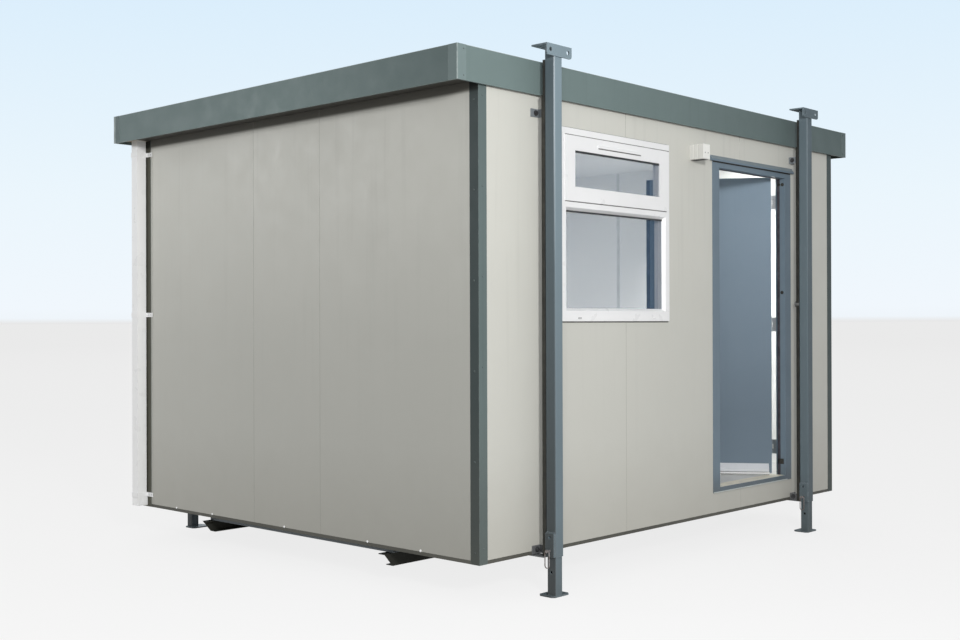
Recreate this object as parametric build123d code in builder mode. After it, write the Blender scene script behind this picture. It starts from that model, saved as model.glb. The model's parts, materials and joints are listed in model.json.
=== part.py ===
from build123d import *
import os

# Portable site cabin: insulated panel walls on a steel base, held by four jack legs.
# Origin at the centre of the footprint on the ground, +Z up, door and window facing -Y, millimetres.

os.makedirs("parts", exist_ok=True)

# ---------------------------------------------------------------- driving dimensions
# Body of the cabin
cabin_length = 3660
cabin_width = 3050
base_clearance = 206
floor_build_up = 165
wall_panels = 3
wall_thickness = 50
end_wall_filler = 610
seam_chamfer = 1.5

# Base
base_rail_height = 19
base_rail_sheet = 3
floor_board = 22
skid_inset = 690
skid_width = 50
skid_depth = 70
skid_sheet = 5
skid_end_slope = 60
cross_rail_width = 60
cross_rail_depth = 30
cross_rail_sheet = 4
cross_rail_setback = 60

# Corner trims, fascia and roof
trim_face = 58
rear_trim_return = 115
trim_sheet = 2
fascia_height = 174
fascia_drop = 20
fascia_sheet = 2
fascia_foot_lip = 12
capping_width = 42
capping_turndown = 10
end_overhang = 174
front_overhang = 25
rear_overhang = 40
cover_face = 60
cover_sheet = 2
roof_core = 80
roof_panels = 4
crowns_per_panel = 3
crown_height = 33
crown_foot = 70
crown_top = 30
gutter_width = 120
gutter_depth = 50
gutter_sheet = 2

# Window, set from the door beside it
window_pier = 484
window_width = 1000
window_height = 1035
window_head_rise = 40
window_depth = 70
window_proud = 12
window_face = 37
window_foot_face = 56
window_head_face = 40
bead_width = 15
bead_depth = 20
transom_face = 49
lower_light_height = 524
sash_lap = 8
sash_gap = 3
sash_proud = 8
sash_member = 78
sash_body = 40
glass_unit = 24
sash_glass_recess = 8
vent_length = 390
vent_height = 18
vent_proud = 8

# Door, measured from the right end of the front wall and from the floor
door_right_inset = 583
door_frame_width = 960
door_frame_height = 2060
door_frame_drop = 25
door_head_space = 196
jamb_face = 74
head_face = 40
sill_face = 31
frame_sheet = 6
frame_proud = 5
frame_depth = 73
rebate_side = 15
architrave_face = 46
leaf_thickness = 44
leaf_gap = 5
leaf_floor_gap = 17
leaf_edge_radius = 2
leaf_open_angle = 56.4
threshold_depth = 80
threshold_thickness = 6
canopy_overlap = 27
canopy_seat = 4
canopy_height = 36
canopy_nose = 12
canopy_proud = 18
weather_bar_height = 53
weather_bar_nose = 18
weather_bar_proud = 28
weather_bar_lift = 10
weather_bar_end_gap = 10

# Door furniture
hinge_height = 95
hinge_knuckle_radius = 6.5
hinge_knuckle_lift = 1.5
hinge_plate = 3
hinge_plate_width = 36
hinge_plate_setback = 10
hinge_gap = 0.5
hinge_foot_offset = 174
hinge_head_offset = 164
handle_height = 1040
handle_backset = 60
handle_plate_width = 38
handle_plate_rise = 77
handle_plate_fall = 143
handle_plate_thickness = 7
lever_length = 120
lever_radius = 9
lever_stand = 34

# Jack legs, measured from the ends of the cabin
leg_left_inset = 447.5
leg_right_inset = 571.5
leg_front_standoff = 79
leg_rear_standoff = 45
leg_size = 65
leg_wall = 4
leg_corner = 8
leg_top_above_ceiling = 222
doubler_height = 122
doubler_plate = 10
doubler_width = 56
pin_hole_radius = 8
pin_hole_pitch = 69
pin_hole_rise = 31
head_length = 200
head_plate = 8
head_drop = 60
head_corner = 14
head_depth = 103
head_hole_pitch = 138
head_hole_radius = 11
foot_size = 56
foot_corner = 6
foot_wall = 4
foot_engagement = 450
foot_plate_length = 134
foot_plate_width = 105
foot_plate_thickness = 8
foot_plate_corner = 14
foot_plate_shift_x = 20
foot_plate_shift_y = 22
foot_hole_rise = 125
pin_radius = 7
pin_reach = 26
pin_ring_length = 96
pin_ring_width = 32
pin_ring_bar = 4
pin_ring_bite = 2

# Cleats that tie the legs to the cabin
cleat_height = 42
cleat_flange = 65
cleat_plate = 6
cleat_web_offsets = {"left": 12.5, "right": -21.5}
cleat_tongue = 60
top_cleat_below_ceiling = 111
bottom_cleat_rise = 24

# Rainwater pipe and cable inlet
pipe_size = 65
pipe_wall = 3
pipe_gap = 12
pipe_from_rear = 10
pipe_foot_gap = 10
pipe_shoe_height = 54
pipe_shoe_step = 8
pipe_clip_height = 28
pipe_clip_sheet = 3
pipe_clip_ear = 62
pipe_clip_foot_rise = 66
pipe_clip_middle_rise = 1242
pipe_clip_below_ceiling = 78
inlet_door_gap = 174
inlet_width = 71
inlet_height = 90
inlet_depth = 98
inlet_below_ceiling = 128
inlet_grooves = (26, 57)
inlet_groove_width = 8
inlet_groove_depth = 3
inlet_edge = 3

# ---------------------------------------------------------------- derived levels and planes
half_length = cabin_length / 2
half_width = cabin_width / 2
wall_foot = base_clearance + base_rail_height
floor_top = base_clearance + floor_build_up
door_bottom = floor_top - door_frame_drop
door_top = door_bottom + door_frame_height
ceiling = door_top + door_head_space
fascia_bottom = ceiling - fascia_drop
fascia_top = fascia_bottom + fascia_height
room_half_length = half_length - wall_thickness
room_half_width = half_width - wall_thickness

door_right = half_length - door_right_inset
door_x = (door_right - door_frame_width, door_right)
clear_x = (door_x[0] + jamb_face, door_x[1] - jamb_face)
clear_z = (door_bottom + sill_face, door_top - head_face)
rebate_x = (clear_x[0] - rebate_side, clear_x[1] + rebate_side)
rebate_top = clear_z[1] + rebate_side
hole_x = (rebate_x[0] - frame_sheet, rebate_x[1] + frame_sheet)
hole_top = rebate_top + frame_sheet
hole_bottom = floor_top - 2 * frame_sheet

window_top = door_top + window_head_rise
window_bottom = window_top - window_height
window_right = door_x[0] - window_pier
window_x = (window_right - window_width, window_right)


def add_block(x, y, z, mode=Mode.ADD):
    """Add or cut a box, each argument a (low, high) pair."""
    with BuildSketch(Plane.XY.offset(z[0])) as outline:
        with Locations(((x[0] + x[1]) / 2, (y[0] + y[1]) / 2)):
            Rectangle(x[1] - x[0], y[1] - y[0])
    extrude(outline.sketch, amount=z[1] - z[0], mode=mode)


def save(piece, label):
    """Name a finished piece and write it."""
    piece.part.label = label
    export_step(piece.part, f"parts/{label}.step")


def wall_plane(side, level):
    """Plane on one wall's outer face: x runs along the wall, y goes into the cabin."""
    origins = {
        "front": ((-half_length, -half_width), (1, 0, 0)),
        "rear": ((half_length, half_width), (-1, 0, 0)),
        "left": ((-half_length, half_width), (0, -1, 0)),
        "right": ((half_length, -half_width), (0, 1, 0)),
    }
    (x, y), along = origins[side]
    return Plane(origin=(x, y, level), x_dir=along, z_dir=(0, 0, 1))


# ---------------------------------------------------------------- base
with BuildPart() as base_rail:
    with BuildSketch(Plane.XY.offset(base_clearance)):
        Rectangle(cabin_length, cabin_width)
        Rectangle(2 * room_half_length, 2 * room_half_width, mode=Mode.SUBTRACT)
    extrude(amount=base_rail_height)
    with BuildSketch(Plane.XY.offset(base_clearance + base_rail_sheet)):
        Rectangle(cabin_length - 2 * base_rail_sheet, cabin_width - 2 * base_rail_sheet)
    extrude(amount=base_rail_height - 2 * base_rail_sheet, mode=Mode.SUBTRACT)
save(base_rail, "base_rail")

with BuildPart() as floor_cassette:
    with BuildSketch(Plane.XY.offset(base_clearance)):
        Rectangle(2 * room_half_length, 2 * room_half_width)
    extrude(amount=floor_build_up - floor_board)
save(floor_cassette, "floor_cassette")

with BuildPart() as floor_deck:
    with BuildSketch(Plane.XY.offset(floor_top - floor_board)):
        Rectangle(2 * room_half_length, 2 * room_half_width)
    extrude(amount=floor_board)
save(floor_deck, "floor_deck")

# Skid channels run the length of the cabin and are cut back at the ends so that they slide.
skid_top = base_clearance - cross_rail_depth
skid_y = half_width - skid_inset - skid_width / 2


def skid(label, centre_y, web_side):
    """One skid: a channel on its side whose web faces outwards."""
    with BuildPart() as channel:
        with BuildSketch(Plane.XZ.offset(-(centre_y + skid_width / 2))):
            Polygon(
                (-half_length, skid_top),
                (half_length, skid_top),
                (half_length - skid_end_slope, skid_top - skid_depth),
                (-half_length + skid_end_slope, skid_top - skid_depth),
                align=None,
            )
        extrude(amount=skid_width)
        inner_y = centre_y - web_side * skid_sheet
        add_block(
            (-half_length, half_length),
            (inner_y - skid_width / 2, inner_y + skid_width / 2),
            (skid_top - skid_depth + skid_sheet, skid_top - skid_sheet),
            mode=Mode.SUBTRACT,
        )
    save(channel, label)


skid("skid_front", -skid_y, -1)
skid("skid_rear", skid_y, 1)


def cross_rail(label, side):
    """One cross rail under an end of the cabin: a channel open towards the middle."""
    outer = side * (half_length - cross_rail_setback)
    inner = outer - side * cross_rail_width
    x = (min(outer, inner), max(outer, inner))
    hollow = outer - side * cross_rail_sheet
    with BuildPart() as rail:
        # Its ends are flush with the skids' outer faces
        y = (-skid_y - skid_width / 2, skid_y + skid_width / 2)
        add_block(x, y, (skid_top, base_clearance))
        add_block(
            (min(hollow, inner), max(hollow, inner)),
            y,
            (skid_top + cross_rail_sheet, base_clearance - cross_rail_sheet),
            mode=Mode.SUBTRACT,
        )
    save(rail, label)


cross_rail("cross_rail_left", -1)
cross_rail("cross_rail_right", 1)


# ---------------------------------------------------------------- walls
def wall_panel(label, side, start, end, low=wall_foot, high=ceiling, seams=(True, True)):
    """A composite panel from start to end along one wall, its edges eased at the seams."""
    with BuildPart() as panel:
        with BuildSketch(wall_plane(side, low)) as outline:
            with Locations(((start + end) / 2, wall_thickness / 2)):
                Rectangle(end - start, wall_thickness)
            ends = outline.vertices().group_by(Axis.X)
            if seams[0]:
                chamfer(ends[0], seam_chamfer)
            if seams[1]:
                chamfer(ends[-1], seam_chamfer)
        extrude(amount=high - low)
        if side == "front":
            add_block(
                window_x,
                (-half_width - window_proud, -room_half_width),
                (window_bottom, window_top),
                mode=Mode.SUBTRACT,
            )
    save(panel, label)


front_module = cabin_length / wall_panels
door_hole = (hole_x[0] + half_length, hole_x[1] + half_length)
wall_panel("front_panel_left", "front", 0, front_module, seams=(False, True))
wall_panel("front_panel_middle", "front", front_module, door_hole[0], seams=(True, False))
wall_panel("front_panel_right", "front", door_hole[1], cabin_length, seams=(False, False))


def door_panel(label, low, high):
    """The strip of front wall over or under the door, with the panel seam cut in both faces."""
    with BuildPart() as strip:
        add_block(hole_x, (-half_width, -room_half_width), (low, high))
        seam_x = 2 * front_module - half_length
        with BuildSketch(Plane.XY.offset(low)):
            with Locations((seam_x, -half_width), (seam_x, -room_half_width)):
                Rectangle(seam_chamfer, seam_chamfer, rotation=45)
        extrude(amount=high - low, mode=Mode.SUBTRACT)
    save(strip, label)


door_panel("front_panel_over_door", hole_top, ceiling)
door_panel("front_panel_under_door", wall_foot, hole_bottom)

for number in range(wall_panels):
    wall_panel(
        f"rear_panel_{number + 1}",
        "rear",
        number * front_module,
        (number + 1) * front_module,
        seams=(number > 0, number < wall_panels - 1),
    )

end_seams = (
    wall_thickness,
    (cabin_width - end_wall_filler) / 2,
    (cabin_width + end_wall_filler) / 2,
    cabin_width - wall_thickness,
)
for side in ("left", "right"):
    for number in range(len(end_seams) - 1):
        wall_panel(
            f"{side}_panel_{number + 1}",
            side,
            end_seams[number],
            end_seams[number + 1],
            seams=(number > 0, number < len(end_seams) - 2),
        )

with BuildPart() as corner_trims:
    with BuildSketch(Plane.XY.offset(base_clearance)):
        Rectangle(cabin_length + 2 * trim_sheet, cabin_width + 2 * trim_sheet)
        Rectangle(cabin_length, cabin_width, mode=Mode.SUBTRACT)
        Rectangle(cabin_length - 2 * trim_face, cabin_width + 4 * trim_sheet, mode=Mode.SUBTRACT)
        # On the end walls the rear trims are wider, so that the rainwater pipe's clips seat on them
        with Locations((0, (trim_face - rear_trim_return) / 2)):
            Rectangle(
                cabin_length + 4 * trim_sheet,
                cabin_width - trim_face - rear_trim_return,
                mode=Mode.SUBTRACT,
            )
    extrude(amount=ceiling - base_clearance)
save(corner_trims, "corner_trims")

# ---------------------------------------------------------------- roof, gutter and fascia
roof_x = (-half_length - end_overhang + fascia_sheet, half_length + end_overhang - fascia_sheet)
roof_y = (
    -half_width - front_overhang + fascia_sheet,
    half_width + rear_overhang - fascia_sheet,
)
roof_length = roof_x[1] - roof_x[0]
pan_level = ceiling + roof_core
gutter_bottom = pan_level - gutter_depth
gutter_front = roof_y[1] - gutter_width
pipe_x = (-half_length - pipe_gap - pipe_size, -half_length - pipe_gap)
pipe_y = (half_width - pipe_from_rear - pipe_size, half_width - pipe_from_rear)

with BuildPart() as roof_deck:
    crown_pitch = roof_length / (roof_panels * crowns_per_panel)
    add_block(roof_x, (roof_y[0], gutter_front), (ceiling, pan_level))
    crown_centres = [
        roof_x[0] + crown_pitch * (index + 0.5)
        for index in range(roof_panels * crowns_per_panel)
    ]
    with BuildSketch(Plane.XZ.offset(-gutter_front)):
        for centre in crown_centres:
            Polygon(
                (centre - crown_foot / 2, pan_level),
                (centre + crown_foot / 2, pan_level),
                (centre + crown_top / 2, pan_level + crown_height),
                (centre - crown_top / 2, pan_level + crown_height),
                align=None,
            )
    extrude(amount=gutter_front - roof_y[0])
save(roof_deck, "roof_deck")

with BuildPart() as gutter_bearer:
    add_block(roof_x, (gutter_front, roof_y[1]), (ceiling, gutter_bottom))
    add_block(pipe_x, pipe_y, (ceiling, gutter_bottom), mode=Mode.SUBTRACT)
save(gutter_bearer, "gutter_bearer")

# Box gutter of flat strips joined along their edges, with an outlet over the rainwater pipe
sole_level = gutter_bottom + gutter_sheet
with BuildPart() as gutter_sole:
    add_block(roof_x, (gutter_front, roof_y[1]), (gutter_bottom, sole_level))
    add_block(
        (pipe_x[0] + pipe_wall, pipe_x[1] - pipe_wall),
        (pipe_y[0] + pipe_wall, pipe_y[1] - pipe_wall),
        (gutter_bottom, sole_level),
        mode=Mode.SUBTRACT,
    )
gutter_strips = [gutter_sole.part]
for low_y in (gutter_front, roof_y[1] - gutter_sheet):
    with BuildPart() as gutter_wall:
        add_block(roof_x, (low_y, low_y + gutter_sheet), (sole_level, pan_level))
    gutter_strips.append(gutter_wall.part)
for low_x in (roof_x[0], roof_x[1] - gutter_sheet):
    with BuildPart() as gutter_end:
        add_block(
            (low_x, low_x + gutter_sheet),
            (gutter_front + gutter_sheet, roof_y[1] - gutter_sheet),
            (sole_level, pan_level),
        )
    gutter_strips.append(gutter_end.part)
export_step(Compound(label="gutter", children=gutter_strips), "parts/gutter.step")

fascia_x = (roof_x[0] - fascia_sheet, roof_x[1] + fascia_sheet)
fascia_y = (roof_y[0] - fascia_sheet, roof_y[1] + fascia_sheet)


capping_level = fascia_top - fascia_sheet
edges = {
    "front": ((fascia_x[0], fascia_y[0]), (fascia_x[1], fascia_y[0])),
    "right": ((fascia_x[1], fascia_y[0]), (fascia_x[1], fascia_y[1])),
    "rear": ((fascia_x[1], fascia_y[1]), (fascia_x[0], fascia_y[1])),
    "left": ((fascia_x[0], fascia_y[1]), (fascia_x[0], fascia_y[0])),
}


def add_mitred_strip(edge, near, far, low, high):
    """A strip along one roof edge between two insets from it, mitred at both ends."""
    start, end = edge
    run = Vector(*end) - Vector(*start)
    frame = Plane(origin=(*start, low), x_dir=tuple(run.normalized()), z_dir=(0, 0, 1))
    with BuildSketch(frame) as strip:
        Polygon(
            (near, near),
            (run.length - near, near),
            (run.length - far, far),
            (far, far),
            align=None,
        )
    extrude(strip.sketch, amount=high - low)


for side, edge in edges.items():
    with BuildPart() as fascia:
        add_mitred_strip(edge, 0, fascia_sheet, fascia_bottom, capping_level)
        add_mitred_strip(
            edge, fascia_sheet, fascia_foot_lip, fascia_bottom, fascia_bottom + fascia_sheet
        )
    save(fascia, f"fascia_{side}")

# The capping lies on the fascia's top edge and turns down towards the roof
cappings = []
for edge in edges.values():
    with BuildPart() as capping:
        add_mitred_strip(edge, 0, capping_width, capping_level, fascia_top)
        add_mitred_strip(
            edge,
            capping_width - fascia_sheet,
            capping_width,
            capping_level - capping_turndown,
            capping_level,
        )
    cappings.append(capping.part)
export_step(Compound(label="roof_capping", children=cappings), "parts/roof_capping.step")

with BuildPart() as fascia_corners:
    middle = ((fascia_x[0] + fascia_x[1]) / 2, (fascia_y[0] + fascia_y[1]) / 2)
    span = (fascia_x[1] - fascia_x[0], fascia_y[1] - fascia_y[0])
    with BuildSketch(Plane.XY.offset(fascia_bottom)):
        with Locations(middle):
            Rectangle(span[0] + 2 * cover_sheet, span[1] + 2 * cover_sheet)
            Rectangle(span[0], span[1], mode=Mode.SUBTRACT)
            Rectangle(span[0] + 4 * cover_sheet, span[1] - 2 * cover_face, mode=Mode.SUBTRACT)
            Rectangle(span[0] - 2 * cover_face, span[1] + 4 * cover_sheet, mode=Mode.SUBTRACT)
    extrude(amount=fascia_height)
save(fascia_corners, "fascia_corners")

# ---------------------------------------------------------------- window
frame_y = (-half_width - window_proud, -half_width - window_proud + window_depth)
light_x = (window_x[0] + window_face + bead_width, window_x[1] - window_face - bead_width)
lower_light_foot = window_bottom + window_foot_face + bead_width
lower_light_z = (lower_light_foot, lower_light_foot + lower_light_height)
sash_x = (window_x[0] + window_face - sash_lap, window_x[1] - window_face + sash_lap)
sash_z = (lower_light_z[1] + transom_face, window_top - window_head_face)
upper_light_x = (sash_x[0] + 2 * sash_lap, sash_x[1] - 2 * sash_lap)
upper_light_z = (sash_z[0] + 2 * sash_lap, sash_z[1] - 2 * sash_lap)
sash_y = (frame_y[0] - sash_proud, frame_y[0] + sash_body)
sash_glass_x = (sash_x[0] + sash_member, sash_x[1] - sash_member)
sash_glass_z = (sash_z[0] + sash_member, sash_z[1] - sash_member)


def add_tapered_light(x, z, depth, taper):
    """Cut a light whose outer edge opens out by the taper over the depth of its bead."""
    face = Plane.XZ.offset(-frame_y[0])
    middle = ((x[0] + x[1]) / 2, (z[0] + z[1]) / 2)
    with BuildSketch(face) as outer:
        with Locations(middle):
            Rectangle(x[1] - x[0] + 2 * taper, z[1] - z[0] + 2 * taper)
    with BuildSketch(face.offset(-depth)) as inner:
        with Locations(middle):
            Rectangle(x[1] - x[0], z[1] - z[0])
    loft([outer.sketch, inner.sketch], mode=Mode.SUBTRACT)


with BuildPart() as window_frame:
    add_block(window_x, frame_y, (window_bottom, window_top))
    add_block(light_x, frame_y, lower_light_z, mode=Mode.SUBTRACT)
    add_tapered_light(light_x, lower_light_z, bead_depth, bead_width)
    add_block(upper_light_x, frame_y, upper_light_z, mode=Mode.SUBTRACT)
save(window_frame, "window_frame")

with BuildPart() as window_sash:
    add_block(sash_x, (sash_y[0], frame_y[0]), sash_z)
    add_block(
        (upper_light_x[0] + sash_gap, upper_light_x[1] - sash_gap),
        (frame_y[0], sash_y[1]),
        (upper_light_z[0] + sash_gap, upper_light_z[1] - sash_gap),
    )
    add_block(sash_glass_x, sash_y, sash_glass_z, mode=Mode.SUBTRACT)
save(window_sash, "window_sash")

lower_glass_y = (frame_y[0] + bead_depth, frame_y[0] + bead_depth + glass_unit)
upper_glass_y = (sash_y[0] + sash_glass_recess, sash_y[0] + sash_glass_recess + glass_unit)

with BuildPart() as window_glass_lower:
    add_block(light_x, lower_glass_y, lower_light_z)
save(window_glass_lower, "window_glass_lower")

with BuildPart() as window_glass_upper:
    add_block(sash_glass_x, upper_glass_y, sash_glass_z)
save(window_glass_upper, "window_glass_upper")

vent_centre = (window_x[0] + window_x[1]) / 2
vent_level = (sash_glass_z[1] + sash_z[1]) / 2
with BuildPart() as trickle_vent:
    with BuildSketch(Plane.YZ.offset(vent_centre - vent_length / 2)):
        Polygon(
            (sash_y[0], vent_level + vent_height / 2),
            (sash_y[0], vent_level - vent_height / 2),
            (sash_y[0] - vent_proud, vent_level - vent_height / 2),
            (sash_y[0] - vent_proud, vent_level + vent_height / 4),
            align=None,
        )
    extrude(amount=vent_length)
save(trickle_vent, "trickle_vent")

# ---------------------------------------------------------------- door frame
outer_face = -half_width
inner_end = outer_face + frame_depth
stop_y = outer_face + wall_thickness

with BuildPart() as door_frame:
    # Face flange around the opening, standing just proud of the wall
    add_block(door_x, (outer_face - frame_proud, outer_face), (door_bottom, door_top))
    # Lining through the wall, and the architrave that closes the wall's edge inside
    add_block(hole_x, (outer_face, stop_y), (hole_bottom, hole_top))
    add_block(
        (hole_x[0] - architrave_face, hole_x[1] + architrave_face),
        (stop_y, inner_end),
        (floor_top, hole_top + architrave_face),
    )
    # Clear opening, with the rebate that the leaf shuts into
    add_block(clear_x, (outer_face - frame_proud, outer_face), clear_z, mode=Mode.SUBTRACT)
    add_block(clear_x, (outer_face, stop_y), (floor_top, clear_z[1]), mode=Mode.SUBTRACT)
    add_block(rebate_x, (stop_y, inner_end), (floor_top, rebate_top), mode=Mode.SUBTRACT)
save(door_frame, "door_frame")

with BuildPart() as door_threshold:
    add_block(
        clear_x,
        (outer_face, outer_face + threshold_depth),
        (floor_top, floor_top + threshold_thickness),
    )
save(door_threshold, "door_threshold")

canopy_foot = door_top - canopy_seat
with BuildPart() as door_canopy:
    with BuildSketch(Plane.YZ.offset(door_x[0] - canopy_overlap)):
        Polygon(
            (outer_face, canopy_foot + canopy_height),
            (outer_face - canopy_proud, canopy_foot + canopy_nose),
            (outer_face - canopy_proud, canopy_foot),
            (outer_face - frame_proud, canopy_foot),
            (outer_face - frame_proud, door_top),
            (outer_face, door_top),
            align=None,
        )
    extrude(amount=door_frame_width + 2 * canopy_overlap)
save(door_canopy, "door_canopy")

# ---------------------------------------------------------------- door leaf, drawn shut and then swung open
leaf_x = (rebate_x[0] + leaf_gap, rebate_x[1] - leaf_gap)
leaf_y = (stop_y + leaf_gap, stop_y + leaf_gap + leaf_thickness)
leaf_z = (floor_top + leaf_floor_gap, rebate_top - leaf_gap)
hinge_x = leaf_x[1] + leaf_gap / 2
hinge_y = leaf_y[1] + hinge_knuckle_radius + hinge_knuckle_lift
hinge_axis = Axis((hinge_x, hinge_y, 0), (0, 0, 1))
knuckle = (hinge_height - 2 * hinge_gap) / 3
hinge_foot_level = leaf_z[0] + hinge_foot_offset
hinge_head_level = leaf_z[1] - hinge_head_offset
hinge_levels = (hinge_foot_level, (hinge_foot_level + hinge_head_level) / 2, hinge_head_level)


def save_on_leaf(piece, label):
    """Swing a piece of the leaf from shut to its open place, then write it."""
    swung = piece.part.rotate(hinge_axis, -leaf_open_angle)
    swung.label = label
    export_step(swung, f"parts/{label}.step")


with BuildPart() as door_leaf:
    add_block(leaf_x, leaf_y, leaf_z)
    fillet(door_leaf.edges().filter_by(Axis.Z), leaf_edge_radius)
save_on_leaf(door_leaf, "door_leaf")

bar_foot = leaf_z[0] + weather_bar_lift
with BuildPart() as weather_bar:
    with BuildSketch(Plane.YZ.offset(clear_x[0] + weather_bar_end_gap)):
        Polygon(
            (leaf_y[0], bar_foot + weather_bar_height),
            (leaf_y[0] - weather_bar_proud, bar_foot + weather_bar_nose),
            (leaf_y[0] - weather_bar_proud, bar_foot),
            (leaf_y[0], bar_foot),
            align=None,
        )
    extrude(amount=clear_x[1] - clear_x[0] - 2 * weather_bar_end_gap)
save_on_leaf(weather_bar, "weather_bar")

with BuildPart() as hinge_leaf_plates:
    for level in hinge_levels:
        low = level - hinge_height / 2
        middle_low = low + knuckle + hinge_gap
        plate_end = leaf_x[1] - hinge_plate_setback
        add_block(
            (plate_end - hinge_plate_width, plate_end),
            (leaf_y[1], leaf_y[1] + hinge_plate),
            (low, low + hinge_height),
        )
        add_block(
            (plate_end, hinge_x),
            (leaf_y[1], leaf_y[1] + hinge_plate),
            (middle_low, middle_low + knuckle),
        )
        with BuildSketch(Plane.XY.offset(middle_low)):
            with Locations((hinge_x, hinge_y)):
                Circle(hinge_knuckle_radius)
        extrude(amount=knuckle)
save_on_leaf(hinge_leaf_plates, "hinge_leaf_plates")

knuckle_notch = hinge_knuckle_radius + hinge_plate / 2 + hinge_gap
with BuildPart() as hinge_frame_plates:
    for level in hinge_levels:
        low = level - hinge_height / 2
        plate_x = hinge_x + hinge_knuckle_radius
        add_block(
            (plate_x - hinge_plate / 2, plate_x + hinge_plate / 2),
            (inner_end, hinge_y),
            (low, low + hinge_height),
        )
        add_block(
            (plate_x - hinge_plate / 2, plate_x + hinge_plate_width),
            (inner_end, inner_end + hinge_plate),
            (low, low + hinge_height),
        )
        with BuildSketch(Plane.XY.offset(low)):
            with Locations((hinge_x, hinge_y)):
                Circle(hinge_knuckle_radius)
        extrude(amount=hinge_height)
        with BuildSketch(Plane.XY.offset(low + knuckle)):
            with Locations((hinge_x, hinge_y)):
                Rectangle(2 * knuckle_notch, 2 * knuckle_notch)
        extrude(amount=knuckle + 2 * hinge_gap, mode=Mode.SUBTRACT)
save(hinge_frame_plates, "hinge_frame_plates")

lever_x = leaf_x[0] + handle_backset
lever_z = floor_top + handle_height


def handle(face_y, outward):
    """One side of the handle: a back plate with a lever on a short neck."""
    plate_y = sorted((face_y, face_y + outward * handle_plate_thickness))
    neck_end = face_y + outward * (lever_stand + lever_radius)
    add_block(
        (lever_x - handle_plate_width / 2, lever_x + handle_plate_width / 2),
        plate_y,
        (lever_z - handle_plate_fall, lever_z + handle_plate_rise),
    )
    with BuildSketch(Plane.XZ.offset(-face_y)) as neck:
        with Locations((lever_x, lever_z)):
            Circle(lever_radius)
    extrude(neck.sketch, amount=-outward * (lever_stand + lever_radius))
    with BuildSketch(Plane.YZ.offset(lever_x)) as grip:
        with Locations((neck_end - outward * lever_radius, lever_z)):
            Circle(lever_radius)
    extrude(grip.sketch, amount=lever_length)


with BuildPart() as door_handle_outer:
    handle(leaf_y[0], -1)
save_on_leaf(door_handle_outer, "door_handle_outer")

with BuildPart() as door_handle_inner:
    handle(leaf_y[1], 1)
save_on_leaf(door_handle_inner, "door_handle_inner")

# ---------------------------------------------------------------- jack legs
leg_foot_level = base_clearance
leg_head_level = ceiling + leg_top_above_ceiling
leg_columns = {"left": -half_length + leg_left_inset, "right": half_length - leg_right_inset}
leg_rows = {"front": (-1, leg_front_standoff), "rear": (1, leg_rear_standoff)}
pin_level = leg_foot_level + pin_hole_rise


def leg_tube(x, y, size, corner, low, high):
    """A square tube's outline with round corners, from low to high."""
    with BuildSketch(Plane.XY.offset(low)) as section:
        with Locations((x, y)):
            RectangleRounded(size, size, corner)
    extrude(section.sketch, amount=high - low)


for row, (outward, standoff) in leg_rows.items():
    leg_y = outward * (half_width + standoff + leg_size / 2)
    for column, leg_x in leg_columns.items():
        with BuildPart() as leg:
            leg_tube(leg_x, leg_y, leg_size, leg_corner, leg_foot_level, leg_head_level)
            # Doubler welded on the side that the locking pin goes in from
            leg_side = leg_x - leg_size / 2
            add_block(
                (leg_side - doubler_plate, leg_side),
                (leg_y - doubler_width / 2, leg_y + doubler_width / 2),
                (leg_foot_level, leg_foot_level + doubler_height),
            )
            leg_bore = leg_size / 2 - leg_wall
            add_block(
                (leg_x - leg_bore, leg_x + leg_bore),
                (leg_y - leg_bore, leg_y + leg_bore),
                (leg_foot_level, leg_head_level),
                mode=Mode.SUBTRACT,
            )
            with BuildSketch(Plane.YZ.offset(leg_x - leg_size)) as pin_holes:
                with Locations((leg_y, pin_level), (leg_y, pin_level + pin_hole_pitch)):
                    Circle(pin_hole_radius)
            extrude(pin_holes.sketch, amount=2 * leg_size, mode=Mode.SUBTRACT)
            # Head: an angle whose drilled flange hangs down in front of the tube
            face_y = leg_y + outward * leg_size / 2
            front_y = face_y + outward * head_plate
            back_y = front_y - outward * head_depth
            flange_y = sorted((face_y, front_y))
            head_x = (leg_x - head_length / 2, leg_x + head_length / 2)
            add_block(
                head_x,
                sorted((back_y, front_y)),
                (leg_head_level - head_plate, leg_head_level),
            )
            with BuildSketch(Plane.XZ.offset(-flange_y[1])) as flange:
                with Locations((leg_x, leg_head_level - head_drop / 2)):
                    Rectangle(head_length, head_drop)
                    fillet(flange.vertices().group_by(Axis.Y)[0], head_corner)
                    with GridLocations(head_hole_pitch, 1, 2, 1):
                        Circle(head_hole_radius, mode=Mode.SUBTRACT)
            extrude(flange.sketch, amount=head_plate)
        save(leg, f"leg_{row}_{column}")

        with BuildPart() as foot:
            foot_top = leg_foot_level + foot_engagement
            leg_tube(leg_x, leg_y, foot_size, foot_corner, 0, foot_top)
            foot_bore = foot_size / 2 - foot_wall
            add_block(
                (leg_x - foot_bore, leg_x + foot_bore),
                (leg_y - foot_bore, leg_y + foot_bore),
                (foot_plate_thickness, foot_top),
                mode=Mode.SUBTRACT,
            )
            plate_x = leg_x + foot_plate_shift_x
            plate_y = leg_y - outward * foot_plate_shift_y
            with BuildSketch(Plane.XY) as foot_plate:
                with Locations((plate_x, plate_y)):
                    Rectangle(foot_plate_length, foot_plate_width)
                chamfer(foot_plate.vertices(), foot_plate_corner)
            extrude(foot_plate.sketch, amount=foot_plate_thickness)
            with BuildSketch(Plane.YZ.offset(leg_x - leg_size)) as foot_holes:
                with Locations((leg_y, foot_hole_rise)):
                    Circle(pin_hole_radius)
            extrude(foot_holes.sketch, amount=2 * leg_size, mode=Mode.SUBTRACT)
        save(foot, f"foot_{row}_{column}")

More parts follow.
